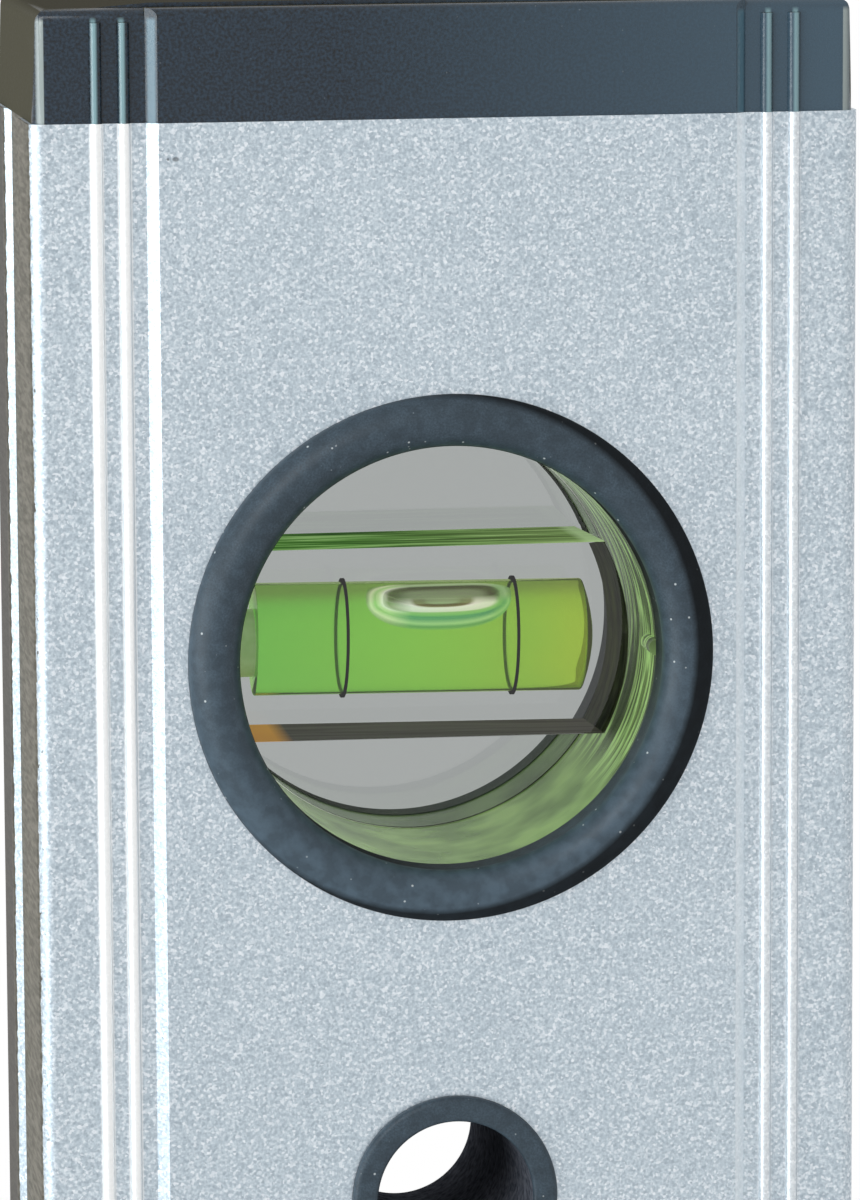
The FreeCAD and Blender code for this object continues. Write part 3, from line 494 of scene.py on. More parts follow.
# %% Rings and bush


def window_ring(name, node, way):
    low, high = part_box(node)
    outer = (high.x - low.x) / 2
    crown = outer - 1.9 * MM
    lip = 15.4 * MM
    top = max(abs(low.y), abs(high.y)) - panel_y
    back = min(abs(low.y), abs(high.y)) - panel_y
    outline = [
        (lip, back), (lip, 0.35 * MM), (crown - 1.0 * MM, top), (crown + 1.0 * MM, top),
        (outer, 0.35 * MM), (outer, 0), (17.5 * MM, 0), (17.5 * MM, back),
    ]
    rounds = {1: 0.35 * MM, 2: 0.95 * MM, 3: 0.95 * MM, 4: 0.35 * MM}
    centre = Vector((window.x, way * panel_y, window.z))
    bm = turn(outline, rounds, centre, Y * way, X, steps=192, segments=7)
    keep(name, bm, soft_black, stands_for=[node])


def hanging_bush(name, node, way):
    low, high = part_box(node)
    outer = (high.x - low.x) / 2
    top = max(abs(low.y), abs(high.y)) - panel_y
    bore = 5.72 * MM
    outline = [
        (bore, -panel_y), (bore, top), (outer, top), (outer, 0), (bore + 1.05 * MM, 0),
        (bore + 1.05 * MM, -panel_y),
    ]
    centre = Vector((hang.x, way * panel_y, hang.z))
    bm = turn(outline, {1: 0.3 * MM, 2: 0.45 * MM}, centre, Y * way, X, steps=128)
    for face in bm.faces:
        off_axis = face.calc_center_median() - centre
        in_bore = off_axis.dot(Y * way) < 0.2 * MM and math.hypot(off_axis.x, off_axis.z) < bore + 0.1 * MM
        face.material_index = int(in_bore)
    keep(name, bm, soft_black, stands_for=[node], more=[bore_black])


for side_name, way in (("front", -1), ("rear", 1)):
    window_ring(f"window_ring_{side_name}", f"plumb_ring_{side_name}", way)
    hanging_bush(f"hanging_bush_{side_name}", f"hang_bush_{side_name}", way)

# %% [markdown]
# ## The plumb vial
#
# A block of clear acrylic fills the window: a thin round web with a bar across it, moulded as one
# piece. Inside the bar lies the liquid, with a bubble in it. Light bends where the material
# changes, so each surface is made once and says how much it bends: acrylic against air by 1.49,
# liquid against acrylic by less than one, and the bubble's air against the liquid by less still.
# The cavity's own wall is left out, because the liquid's skin is the same surface.

# %% Clear materials


def clear_acrylic(name, colour, roughness):
    """Clear or tinted acrylic, with faint moulding marks."""
    made, tree, shader = new_finish(
        name, Transmission_Weight=1.0, IOR=1.49, Roughness=roughness, Base_Color=(*colour, 1)
    )
    haze = grain(tree, 7 * MM, 0.0)
    relief(tree, shader, haze, 0.02 * MM, 0.15)
    return made


def nested_glass(name, colour, bend):
    """A surface between two clear materials. Bend is the inner index over the outer one."""
    made = bpy.data.materials.new(name)
    made.use_nodes = True
    tree = made.node_tree
    tree.nodes.remove(tree.nodes["Principled BSDF"])
    glass = add(tree, "ShaderNodeBsdfGlass", {"Color": (*colour, 1), "Roughness": 0.0, "IOR": bend})
    tree.links.new(glass.outputs[0], tree.nodes["Material Output"].inputs["Surface"])
    return made


PLUMB_LINES = (-6.31 * MM, 6.33 * MM)


def glowing_liquid():
    """Green liquid, yellower to the right, with painted shade under the top of the tube. A painted glow
    lights it from within, strongest at the rear wall and low down, and almost gone at the reading lines.
    """
    made = nested_glass("vial_liquid", (0.7, 0.95, 0.4), 0.965)
    tree = made.node_tree
    glass = tree.nodes["Glass BSDF"]
    along = span(tree, axis_of(tree, "X"), -13 * MM, 12 * MM)
    cloud = times(tree, minus(tree, grain(tree, 5 * MM, 1.0, (0.5, 1, 1)), 0.5), 0.16)
    along = plus(tree, along, cloud)
    clear = ramp(tree, along, [
        (0.0, (0.58, 0.97, 0.42)), (0.5, (0.68, 1.0, 0.40)), (1.0, (0.78, 0.95, 0.34)),
    ])
    # painted shade under the top of the tube
    painted_shade_top = span(tree, axis_of(tree, "Z"), window.z + 2.7 * MM, window.z + 3.7 * MM, 0.0, 0.7)
    clear = blend(tree, painted_shade_top, clear, (0.60, 0.70, 0.34))
    tree.links.new(clear, glass.inputs["Color"])
    milky = ramp(tree, along, [
        (0.0, (0.34, 0.95, 0.13)), (0.6, (0.40, 0.95, 0.11)), (1.0, (0.62, 0.95, 0.06)),
    ])
    milky = blend(tree, painted_shade_top, milky, (0.22, 0.28, 0.05))
    scatter = add(tree, "ShaderNodeBsdfDiffuse", {"Color": milky})
    cloudy = add(tree, "ShaderNodeMixShader", {0: 0.16, 1: glass.outputs[0], 2: scatter.outputs[0]})
    # painted glow: the liquid's emission, which stands in for light
    glow_colour = ramp(tree, along, [
        (0.0, (0.14, 0.225, 0.04)), (0.45, (0.16, 0.235, 0.035)),
        (0.86, (0.18, 0.235, 0.03)), (0.98, (0.26, 0.27, 0.02)),
    ])
    high = span(tree, axis_of(tree, "Z"), window.z + 1.0 * MM, window.z + 3.6 * MM, 1.0, 0.5)
    rear = span(tree, axis_of(tree, "Y"), -1 * MM, 1 * MM, 0.1, 1.0)
    for line in PLUMB_LINES:
        off_line = apart(tree, axis_of(tree, "X"), line)
        rear = times(tree, rear, span(tree, off_line, 0.13 * MM, 0.20 * MM, 0.15, 1.0))
    glow = add(tree, "ShaderNodeEmission", {"Color": glow_colour, "Strength": times(tree, rear, high)})
    both = add(tree, "ShaderNodeAddShader", {0: cloudy.outputs[0], 1: glow.outputs[0]})
    tree.links.new(both.outputs[0], tree.nodes["Material Output"].inputs["Surface"])
    return made


BUBBLE_LENGTH, BUBBLE_OFFSET, BUBBLE_TOP = 10.8 * MM, 0.85 * MM, 4.07 * MM
BUBBLE_RISE, BUBBLE_DROP = 1.15 * MM, 2.4 * MM


def bubble_skin():
    """The bubble: a glass skin mixed with a glow that paints its grey-green middle and the bright and dark
    bands of its bent skin, as painted reflections and painted shade.
    """
    made = nested_glass("vial_air", (0.95, 1.0, 0.92), 1 / 1.36)
    tree = made.node_tree
    glass = tree.nodes["Glass BSDF"]
    way = sums(tree, "DIVIDE", minus(tree, axis_of(tree, "X"), BUBBLE_OFFSET), BUBBLE_LENGTH / 2)
    along = sums(tree, "ABSOLUTE", way)
    height = minus(tree, axis_of(tree, "Z"), window.z + BUBBLE_TOP - BUBBLE_RISE)
    above = sums(tree, "DIVIDE", sums(tree, "MAXIMUM", height, 0.0), BUBBLE_RISE)
    below = sums(tree, "DIVIDE", sums(tree, "MINIMUM", height, 0.0), -BUBBLE_DROP)

    def oval(off_level, half_length, half_height, power):
        """How far out a spot lies, from 0 at the middle to 1 on an oval with its own sizes."""
        upright = sums(tree, "DIVIDE", off_level, half_height)
        total = sums(tree, "POWER", sums(tree, "DIVIDE", along, half_length), power)
        return sums(tree, "POWER", plus(tree, total, sums(tree, "POWER", upright, power)), 1 / power)

    # the clear middle is a boat: flat and high above, shallow below, so the bands spread under it
    skin = sums(tree, "MAXIMUM", oval(above, 1.0, 1.0, 4.5), oval(below, 1.0, 1.0, 2.5))
    boat = sums(tree, "MAXIMUM", oval(above, 0.80, 0.80, 5.0), oval(below, 0.80, 0.36, 2.6))
    past_boat = sums(tree, "DIVIDE", minus(tree, boat, 1.0), minus(tree, boat, skin))
    outward = plus(tree, sums(tree, "MINIMUM", boat, 1.0), sums(tree, "MAXIMUM", past_boat, 0.0))
    outward = sums(tree, "DIVIDE", outward, 2.0)

    # the liquid in front of the bubble tints it, so the bands are mixed with less red and green
    def bands_of(stops):
        return ramp(tree, outward, [(spot, (r * 0.59, g * 0.40, b)) for spot, (r, g, b) in stops])

    lower = bands_of([
        (0.0, (0.25, 0.31, 0.17)), (0.12, (0.22, 0.27, 0.15)), (0.17, (0.09, 0.045, 0.02)),
        (0.24, (0.14, 0.08, 0.03)), (0.29, (0.80, 0.80, 0.70)), (0.45, (0.72, 0.78, 0.62)),
        (0.50, (0.26, 0.52, 0.17)), (0.64, (0.17, 0.48, 0.13)), (0.73, (0.05, 0.28, 0.12)),
        (0.80, (0.10, 0.38, 0.15)), (0.90, (0.36, 0.68, 0.26)), (0.95, (0.10, 0.34, 0.10)),
        (1.0, (0.16, 0.40, 0.08)),
    ])
    upper = bands_of([
        (0.0, (0.25, 0.31, 0.17)), (0.34, (0.20, 0.25, 0.14)), (0.42, (0.06, 0.05, 0.025)),
        (0.48, (0.05, 0.045, 0.02)), (0.54, (0.26, 0.38, 0.19)), (0.74, (0.44, 0.64, 0.33)),
        (0.90, (0.20, 0.30, 0.11)), (1.0, (0.07, 0.08, 0.03)),
    ])
    left_end = bands_of([
        (0.0, (0.20, 0.27, 0.11)), (0.34, (0.06, 0.09, 0.03)), (0.46, (0.10, 0.13, 0.05)),
        (0.53, (0.85, 0.95, 0.72)), (0.66, (0.60, 0.84, 0.38)), (0.78, (0.36, 0.70, 0.20)),
        (0.90, (0.74, 0.92, 0.48)), (1.0, (0.08, 0.22, 0.03)),
    ])
    bands = blend(tree, span(tree, height, -0.25 * MM, 0.25 * MM), lower, upper)
    bands = blend(tree, span(tree, way, -0.42, -0.72, 0.0, 0.9), bands, left_end)
    right_tip = times(tree, span(tree, way, 0.66, 0.78), span(tree, outward, 0.44, 0.54))
    bands = blend(tree, times(tree, right_tip, 0.45), bands, (0.10, 0.20, 0.12))
    # the bands glow: painted light laid over the glass
    shine = add(tree, "ShaderNodeEmission", {"Color": bands, "Strength": 4.6})
    both = add(tree, "ShaderNodeMixShader", {0: 0.75, 1: glass.outputs[0], 2: shine.outputs[0]})
    tree.links.new(both.outputs[0], tree.nodes["Material Output"].inputs["Surface"])
    return made


def plug_finish():
    """The plug of the filling hole: pale, cloudy green, with a painted glow in the same colour."""
    made, tree, shader = new_finish(
        "vial_plug", Roughness=0.4, Specular_IOR_Level=0.2, Emission_Strength=0.35
    )
    cloud = grain(tree, 1.5 * MM, 2.0)
    pale = ramp(tree, cloud, [(0.35, (0.42, 0.72, 0.22)), (0.65, (0.58, 0.85, 0.36))])
    tree.links.new(pale, shader.inputs["Base Color"])
    tree.links.new(pale, shader.inputs["Emission Color"])
    return made


def rail_finish():
    """The bar's satin upper and lower faces carry painted reflections that also glow: green with streaks
    above, brown below, paler at the upper face's right end and orange at the lower face's left end.
    """
    made, tree, shader = new_finish(
        "vial_rail", Roughness=0.5, Specular_IOR_Level=0.0, Emission_Strength=0.45
    )
    streaks = grain(tree, 1.1 * MM, 3.0, (0.10, 1, 1))
    upper = span(tree, axis_of(tree, "Z"), window.z - 1 * MM, window.z + 1 * MM)
    green = ramp(tree, streaks, [
        (0.34, (0.03, 0.07, 0.03)), (0.47, (0.09, 0.22, 0.05)),
        (0.55, (0.17, 0.36, 0.10)), (0.66, (0.40, 0.62, 0.26)),
    ])
    right = span(tree, axis_of(tree, "X"), -6 * MM, 9 * MM, 0.0, 0.75)
    olive = ramp(tree, streaks, [(0.36, (0.13, 0.17, 0.07)), (0.62, (0.34, 0.44, 0.20))])
    green = blend(tree, right, green, olive)
    pale_end = span(tree, axis_of(tree, "X"), 10.8 * MM, 11.6 * MM, 0.0, 0.7)
    green = blend(tree, pale_end, green, (0.52, 0.66, 0.40))
    brown = ramp(tree, streaks, [(0.36, (0.055, 0.048, 0.038)), (0.62, (0.10, 0.09, 0.078))])
    left_end = span(tree, axis_of(tree, "X"), -10.4 * MM, -11.6 * MM)
    brown = blend(tree, left_end, brown, (0.85, 0.36, 0.05))
    colour = blend(tree, upper, brown, green)
    tree.links.new(colour, shader.inputs["Base Color"])
    tree.links.new(colour, shader.inputs["Emission Color"])
    return made


def end_finish():
    """The bar's curved ends: painted shade, dark grey-brown, for how they look almost black through its
    side.
    """
    made, tree, shader = new_finish("vial_end", Roughness=0.6, Specular_IOR_Level=0.0)
    cloud = grain(tree, 1.2 * MM, 3.0, (1, 1, 0.3))
    dark = ramp(tree, cloud, [(0.35, (0.045, 0.042, 0.035)), (0.65, (0.13, 0.125, 0.10))])
    tree.links.new(dark, shader.inputs["Base Color"])
    return made


vial_acrylic = clear_acrylic("vial_acrylic", (0.355, 0.375, 0.368), 0.0)
vial_liquid = glowing_liquid()
vial_air = bubble_skin()
vial_rail = rail_finish()
vial_end = end_finish()
vial_plug = plug_finish()
black_ink, _tree, _shader = new_finish(
    "black_ink", Base_Color=(0.006, 0.007, 0.006, 1), Roughness=0.6, Specular_IOR_Level=0.0
)

# %% [markdown]
# The block starts as a disc, because its round web fits the sleeve. Two cuts across the disc free a
# band, which is pushed forward as the bar: so web and bar stay one skin, as the moulding is one
# piece. A boolean would join two bodies too, but it leaves long thin faces that glass shows.

# %% Acrylic block
vial_centre = Vector((window.x, 0, window.z))
bar_angle, bore_angle = math.radians(-0.1), math.radians(-0.8)


def tilted(bm, centre, angle):
    """Turns a piece of the plumb vial to the angle that it was set at."""
    turn_by = Matrix.Rotation(-angle, 3, "Y")
    bmesh.ops.rotate(bm, verts=bm.verts, cent=centre, matrix=turn_by)
    return bm


def push_out(bm, faces, vec):
    """Extrudes flat faces by a vector and gives the moved points."""
    grown = bmesh.ops.extrude_face_region(bm, geom=faces)
    bmesh.ops.delete(bm, geom=faces, context="FACES_ONLY")
    moved = [part for part in grown["geom"] if isinstance(part, bmesh.types.BMVert)]
    bmesh.ops.translate(bm, verts=moved, vec=vec)
    return moved, [part for part in grown["geom"] if isinstance(part, bmesh.types.BMFace)]


def lift_underside(points, at_right, at_left, radius):
    """Lifts the bar's lower edge by its own amount at each end: the bar isn't quite parallel."""
    lowest = min(point.co.z for point in points)
    for point in points:
        if point.co.z < 0:
            leftward = (1 - point.co.x / radius) / 2
            point.co.z += (at_right + (at_left - at_right) * leftward) * point.co.z / lowest


def shift_right_end(bm, points, radius, by):
    """Moves the bar's curved right end along the bar."""
    bmesh.ops.translate(bm, verts=[point for point in points if point.co.x > radius / 2], vec=X * by)


def acrylic_block(node):
    """A round web at the back, with a bar across it that widens a little to the front."""
    low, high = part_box(node)
    radius = (high.x - low.x) / 2
    bar_half = high.y
    web = 0.5 * MM
    bar_rise = 7.2 * MM
    end_gap = 1.05 * MM
    taper, end_taper = 0.24 * MM, 0.3 * MM
    bm = bmesh.new()
    bmesh.ops.create_circle(bm, cap_ends=True, segments=160, radius=radius)
    bmesh.ops.rotate(bm, verts=bm.verts, cent=(0, 0, 0), matrix=Matrix.Rotation(math.pi / 2, 3, "X"))
    bmesh.ops.translate(bm, verts=bm.verts, vec=Y * bar_half)
    grown = bmesh.ops.extrude_face_region(bm, geom=bm.faces[:])
    moved = [part for part in grown["geom"] if isinstance(part, bmesh.types.BMVert)]
    bmesh.ops.translate(bm, verts=moved, vec=-Y * web)
    for height in (-bar_rise, bar_rise):
        bmesh.ops.bisect_plane(
            bm, geom=bm.verts[:] + bm.edges[:] + bm.faces[:], plane_co=Z * height, plane_no=Z
        )
    bar = [
        face for face in bm.faces
        if abs(face.calc_center_median().y - bar_half + web) < 1e-6
        and abs(face.calc_center_median().z) < bar_rise
    ]
    moved, bar = push_out(bm, bar, -Y * 0.01 * MM)
    narrow = (bar_rise - taper) / bar_rise
    bmesh.ops.scale(bm, verts=moved, vec=(1, 1, narrow))
    shift_right_end(bm, moved, radius, -end_gap - end_taper)
    lift_underside(moved, -0.08 * MM, 0.31 * MM, radius)
    moved, _bar = push_out(bm, bar, -Y * (2 * bar_half - web - 0.01 * MM))
    lift_underside(moved, 0.21 * MM, 0.01 * MM, radius)
    bmesh.ops.scale(bm, verts=moved, vec=(1, 1, 1 / narrow))
    shift_right_end(bm, moved, radius, end_taper)
    bmesh.ops.recalc_face_normals(bm, faces=bm.faces[:])
    for face in bm.faces:
        spot = face.calc_center_median()
        if abs(face.normal.y) < 0.1:
            on_bar = spot.y < bar_half - web - 0.1 * MM
            face.material_index = 1 if on_bar and abs(face.normal.z) > 0.97 else 2
    edges = [
        edge for edge in bm.edges
        if len(edge.link_faces) == 2 and edge.calc_face_angle(0) > 1.0
        and max(edge.verts[0].co.y, edge.verts[1].co.y) < 1e-6 - bar_half
    ]
    bmesh.ops.bevel(
        bm, geom=edges, offset=0.10 * MM, offset_type="OFFSET", segments=2, profile=0.5,
        affect="EDGES", material=-1,
    )
    bmesh.ops.translate(bm, verts=bm.verts, vec=vial_centre)
    return tilted(bm, vial_centre, bar_angle)


keep("plumb_acrylic", acrylic_block("plumb_vial_block"), vial_acrylic,
     stands_for=["plumb_vial_block"], smooth=30, more=[vial_rail, vial_end])

# %% [markdown]
# The liquid is turned like the rings. The bubble is a sphere pulled into a bean: powers of its
# coordinates blunt its ends and flatten its top, and a last step keeps it inside the bore.

# %% Liquid and bubble


def liquid_column(left, right, dome, radius, centre, axis, side):
    """The liquid: flat at one end, domed at the other."""
    outline = [
        (0, -left), (radius, -left), (radius, right), (radius * 0.55, right + dome * 0.8),
        (0, right + dome),
    ]
    rounds = {1: 0.12 * MM, 2: 0.15 * MM, 3: 1.6 * MM}
    return turn(outline, rounds, centre, axis, side, steps=96, segments=4)


def bubble(width, centre):
    """A long bean of air under the top of the bore: blunt ends, flat above, deeper below."""
    bm = bmesh.new()
    bmesh.ops.create_uvsphere(bm, u_segments=80, v_segments=56, radius=1.0)
    for vert in bm.verts:
        vert.co.x = math.copysign(abs(vert.co.x) ** 0.74, vert.co.x) * BUBBLE_LENGTH / 2
        vert.co.y *= width
        height = vert.co.z
        height = height ** 0.38 * BUBBLE_RISE if height > 0 else height * BUBBLE_DROP
        vert.co.z = BUBBLE_TOP - BUBBLE_RISE + height
        reach = math.hypot(vert.co.y, vert.co.z)
        if reach > BUBBLE_TOP:
            vert.co.y *= BUBBLE_TOP / reach
            vert.co.z *= BUBBLE_TOP / reach
    bmesh.ops.remove_doubles(bm, verts=bm.verts[:], dist=1e-6)
    bmesh.ops.translate(bm, verts=bm.verts, vec=centre + X * BUBBLE_OFFSET)
    bmesh.ops.recalc_face_normals(bm, faces=bm.faces[:])
    return bm


def reading_lines(places, inner, outer, width, centre):
    """Black rings round the bore."""
    bm = bmesh.new()
    for spot in places:
        corners = [
            bm.verts.new(centre + X * (spot + along) + Z * radius)
            for radius, along in (
                (inner, -width / 2), (outer, -width / 2), (outer, width / 2), (inner, width / 2)
            )
        ]
        edges = [bm.edges.new((corners[i], corners[(i + 1) % 4])) for i in range(4)]
        bmesh.ops.spin(
            bm, geom=corners + edges, angle=2 * math.pi, steps=96, use_merge=True, use_duplicate=False,
            axis=X, cent=centre,
        )
    bmesh.ops.recalc_face_normals(bm, faces=bm.faces[:])
    return bm


bore = 4.15 * MM
column = liquid_column(12.9 * MM, 11.45 * MM, 0.9 * MM, bore, vial_centre, X, Z)
keep("plumb_liquid", tilted(column, vial_centre, bore_angle), vial_liquid,
     stands_for=["plumb_vial_liquid"])
air = bubble(3.3 * MM, vial_centre)
keep("plumb_bubble", tilted(air, vial_centre, bore_angle), vial_air, smooth=60)
rings = reading_lines(PLUMB_LINES, bore + 0.03 * MM, bore + 0.26 * MM, 0.21 * MM, vial_centre)
keep("plumb_lines", tilted(rings, vial_centre, bore_angle), black_ink,
     stands_for=["plumb_vial_lines"])

# %% [markdown]
# ## The tinted sleeve
#
# A green sleeve lines the window. It carries a painted glow in its own colour, which stands in for
# the light that runs through its wall. It is part clear and part cloudy, with streaks along the
# moulding's flow, so it mixes transmission with plain colour.

# %% Sleeve


def sleeve_finish():
    # the emission is a painted glow
    made, tree, shader = new_finish(
        "tinted_sleeve", Transmission_Weight=0.15, IOR=1.49, Roughness=0.22, Specular_IOR_Level=0.3,
        Emission_Strength=0.35,
    )
    shader.inputs["Specular Tint"].default_value = (0.45, 0.85, 0.25, 1)
    radius = 15.5 * MM
    rise = minus(tree, axis_of(tree, "Z"), window.z)
    turned = sums(tree, "ARCTAN2", rise, axis_of(tree, "X"))
    unrolled = add(
        tree, "ShaderNodeCombineXYZ",
        {"X": times(tree, turned, radius * 0.10), "Y": axis_of(tree, "Y")},
    ).outputs[0]
    noise = add(tree, "ShaderNodeTexNoise", {"Vector": unrolled, "Scale": 1 / (1.3 * MM), "Detail": 3.0})
    streaks = ramp(tree, noise.outputs["Fac"], [
        (0.32, (0.04, 0.055, 0.03)), (0.47, (0.10, 0.15, 0.06)), (0.55, (0.42, 0.66, 0.24)),
        (0.60, (0.16, 0.24, 0.09)), (0.74, (0.07, 0.10, 0.045)),
    ])
    soft = grain(tree, 4.5 * MM, 2.0)
    olive = ramp(tree, soft, [(0.34, (0.12, 0.21, 0.06)), (0.66, (0.26, 0.42, 0.13))])
    below = span(tree, rise, -7.5 * MM, -11 * MM)
    tint = blend(tree, below, streaks, olive)
    tree.links.new(tint, shader.inputs["Base Color"])
    tree.links.new(tint, shader.inputs["Emission Color"])
    relief(tree, shader, noise.outputs["Fac"], 0.05 * MM, 0.4)
    return made


tinted_sleeve = sleeve_finish()
nodes["plumb_vial_sleeve"].data.materials[0] = tinted_sleeve
for plug in ("plumb_vial_plug", "level_vial_plug"):
    nodes[plug].data.materials[0] = vial_plug

# %% [markdown]
# ## The edge vial
#
# The horizontal vial sits in a black frame that straddles a notch in the upper edge. Its block is a
# plain bar. With the level on end, its air has run to the upper end of the tube.

# %% Edge vial


def plain_bar(node, rounding):
    """A box-shaped bar with softened edges."""
    low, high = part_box(node)
    bm = bmesh.new()
    bmesh.ops.create_cube(bm, size=1.0)
    bmesh.ops.scale(bm, verts=bm.verts, vec=high - low)
    bmesh.ops.translate(bm, verts=bm.verts, vec=(low + high) / 2)
    bmesh.ops.bevel(
        bm, geom=bm.edges[:], offset=rounding, offset_type="OFFSET", segments=2, profile=0.5,
        affect="EDGES", material=-1,
    )
    return bm


keep("level_acrylic", plain_bar("level_vial_block", 0.15 * MM), vial_acrylic,
     stands_for=["level_vial_block"], smooth=30)
level_centre = middle("level_vial_block")
half_tube = 20 * MM
column = turn(
    [(0, -half_tube), (bore, -half_tube), (bore, half_tube), (0, half_tube)],
    {1: 0.3 * MM, 2: 0.3 * MM}, level_centre, Z, X, steps=96, segments=4,
)
keep("level_liquid", column, vial_liquid, stands_for=["level_vial_liquid"])
air_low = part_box("level_vial_liquid")[1].z - level_centre.z
column = turn(
    [(0, air_low), (4.0 * MM, air_low), (4.0 * MM, half_tube - 0.15 * MM), (0, half_tube - 0.15 * MM)],
    {1: 1.2 * MM, 2: 0.4 * MM}, level_centre, Z, X, steps=96, segments=5,
)
keep("level_air", column, vial_air)
nodes["level_vial_lines"].data.materials[0] = black_ink
for node in ("level_vial_frame", "level_vial_cover"):
    keep(node.replace("level_vial", "edge"), copy_of(node), cap_black, stands_for=[node])

# %% [markdown]
# ## Module, display and keys
#
# The bezel holds a clear window over a liquid-crystal panel. The panel is a pale grey-green with a
# soft sheen, and its figures are dark, flat and sharp. They read along the level, because it is
# used lying down: up on the figures is the upper edge. Soft grey keys carry pale printed signs.

# %% Module finishes
bezel_black = black_moulding(
    "bezel_black", (0.012, 0.014, 0.017), (0.12, 0.13, 0.14), 0.42, 0.22 * MM, 0.03 * MM
)
key_rubber = black_moulding(
    "key_rubber", (0.10, 0.115, 0.13), (0.22, 0.24, 0.26), 0.62, 0.14 * MM, 0.02 * MM
)
print_white, _tree, _shader = new_finish("print_white", Base_Color=(0.78, 0.80, 0.80, 1), Roughness=0.5)
lcd_dark, _tree, _shader = new_finish("lcd_dark", Base_Color=(0.012, 0.016, 0.014, 1), Roughness=0.4)


def lcd_panel():
    made, tree, shader = new_finish("lcd_panel", Roughness=0.28, Coat_Weight=0.6, Coat_Roughness=0.05)
    fine = grain(tree, 0.12 * MM, 2.0)
    pale = ramp(tree, fine, [(0.35, (0.34, 0.40, 0.33)), (0.65, (0.40, 0.47, 0.39))])
    tree.links.new(pale, shader.inputs["Base Color"])
    return made


def plain_metal(name, colour, roughness, size):
    """Nickel or steel, with a fine drawn grain."""
    made, tree, shader = new_finish(name, Metallic=1.0)
    fine = grain(tree, size, 3.0, (1, 1, 0.2))
    shades = ramp(tree, fine, [(0.3, tuple(0.8 * c for c in colour)), (0.7, colour)])
    tree.links.new(shades, shader.inputs["Base Color"])
    rough = span(tree, fine, 0.3, 0.7, roughness - 0.05, roughness + 0.1)
    tree.links.new(rough, shader.inputs["Roughness"])
    relief(tree, shader, fine, 0.01 * MM, 0.4)
    return made


steel = plain_metal("steel", (0.62, 0.62, 0.60), 0.28, 0.3 * MM)
nickel = plain_metal("nickel", (0.74, 0.72, 0.66), 0.2, 0.2 * MM)
panel_glass = lcd_panel()
lens_clear, _tree, _shader = new_finish(
    "display_window", Transmission_Weight=1.0, IOR=1.45, Roughness=0.0, Base_Color=(0.97, 0.98, 0.97, 1)
)

# %% Module pieces
keep("bezel", copy_of("module_bezel"), bezel_black, stands_for=["module_bezel"])
keep("inner_tray", copy_of("module_tray"), cap_black, stands_for=["module_tray"])
keep("screws", copy_of("module_screws"), steel, stands_for=["module_screws"])
for key in ("power_key", "hold_key", "zero_key", "unit_key"):
    keep(key + "_cap", copy_of(key), key_rubber, body=key, stands_for=[key])
nodes["display_lens"].data.materials[0] = lens_clear
nodes["display_panel"].data.materials[0] = panel_glass

# %% [markdown]
# A text object would bring a typeface, and a display has none: its figures are bars that turn
# dark. So each figure is drawn from a list of bars, flat on a reading plane, then given a thickness
# and turned on to the panel. The point is a round dot in the gap between two figures.

# %% Figures on the panel
READ = Matrix(((0, 1, 0), (0, 0, -1), (-1, 0, 0)))
SEGMENTS = {
    "a": ((0, 2), (1, 2)), "b": ((1, 2), (1, 1)), "c": ((1, 1), (1, 0)), "d": ((0, 0), (1, 0)),
    "e": ((0, 0), (0, 1)), "f": ((0, 1), (0, 2)), "g": ((0, 1), (1, 1)),
}
LIT = {"9": "abcdfg", "0": "abcdef"}


def bar_sign(bm, start, end, width):
    """One flat bar with pointed ends, between two points of the reading plane."""
    start, end = Vector((*start, 0)), Vector((*end, 0))
    along = (end - start).normalized()
    across = Vector((-along.y, along.x, 0)) * width / 2
    gap = along * width * 0.12
    a, b = start + gap, end - gap
    tip = along * width / 2
    corners = [a, a + tip + across, b - tip + across, b, b - tip - across, a + tip - across]
    bm.faces.new([bm.verts.new(corner) for corner in corners])


def raise_sign(bm, centre, thickness):
    """Gives flat signs a thickness, and turns them to read along the level at a place on its front."""
    grown = bmesh.ops.extrude_face_region(bm, geom=bm.faces[:])
    moved = [part for part in grown["geom"] if isinstance(part, bmesh.types.BMVert)]
    bmesh.ops.translate(bm, verts=moved, vec=Z * thickness)
    bmesh.ops.rotate(bm, verts=bm.verts, cent=(0, 0, 0), matrix=READ)
    bmesh.ops.translate(bm, verts=bm.verts, vec=centre)
    bmesh.ops.recalc_face_normals(bm, faces=bm.faces[:])
    return bm


def ring_sign(bm, centre, radius, width, steps=24, start=0.0, sweep=2 * math.pi):
    """A flat ring or arc."""
    whole = sweep > 6.28
    count = steps if whole else steps + 1
    rows = []
    for i in range(count):
        angle = start + sweep * i / steps
        out = Vector((math.cos(angle), math.sin(angle), 0))
        middle_line = Vector((*centre, 0)) + out * radius
        rows.append([bm.verts.new(middle_line + out * side * width / 2) for side in (-1, 1)])
    for i in range(count if whole else count - 1):
        near, far = rows[i], rows[(i + 1) % count]
        bm.faces.new([near[0], far[0], far[1], near[1]])


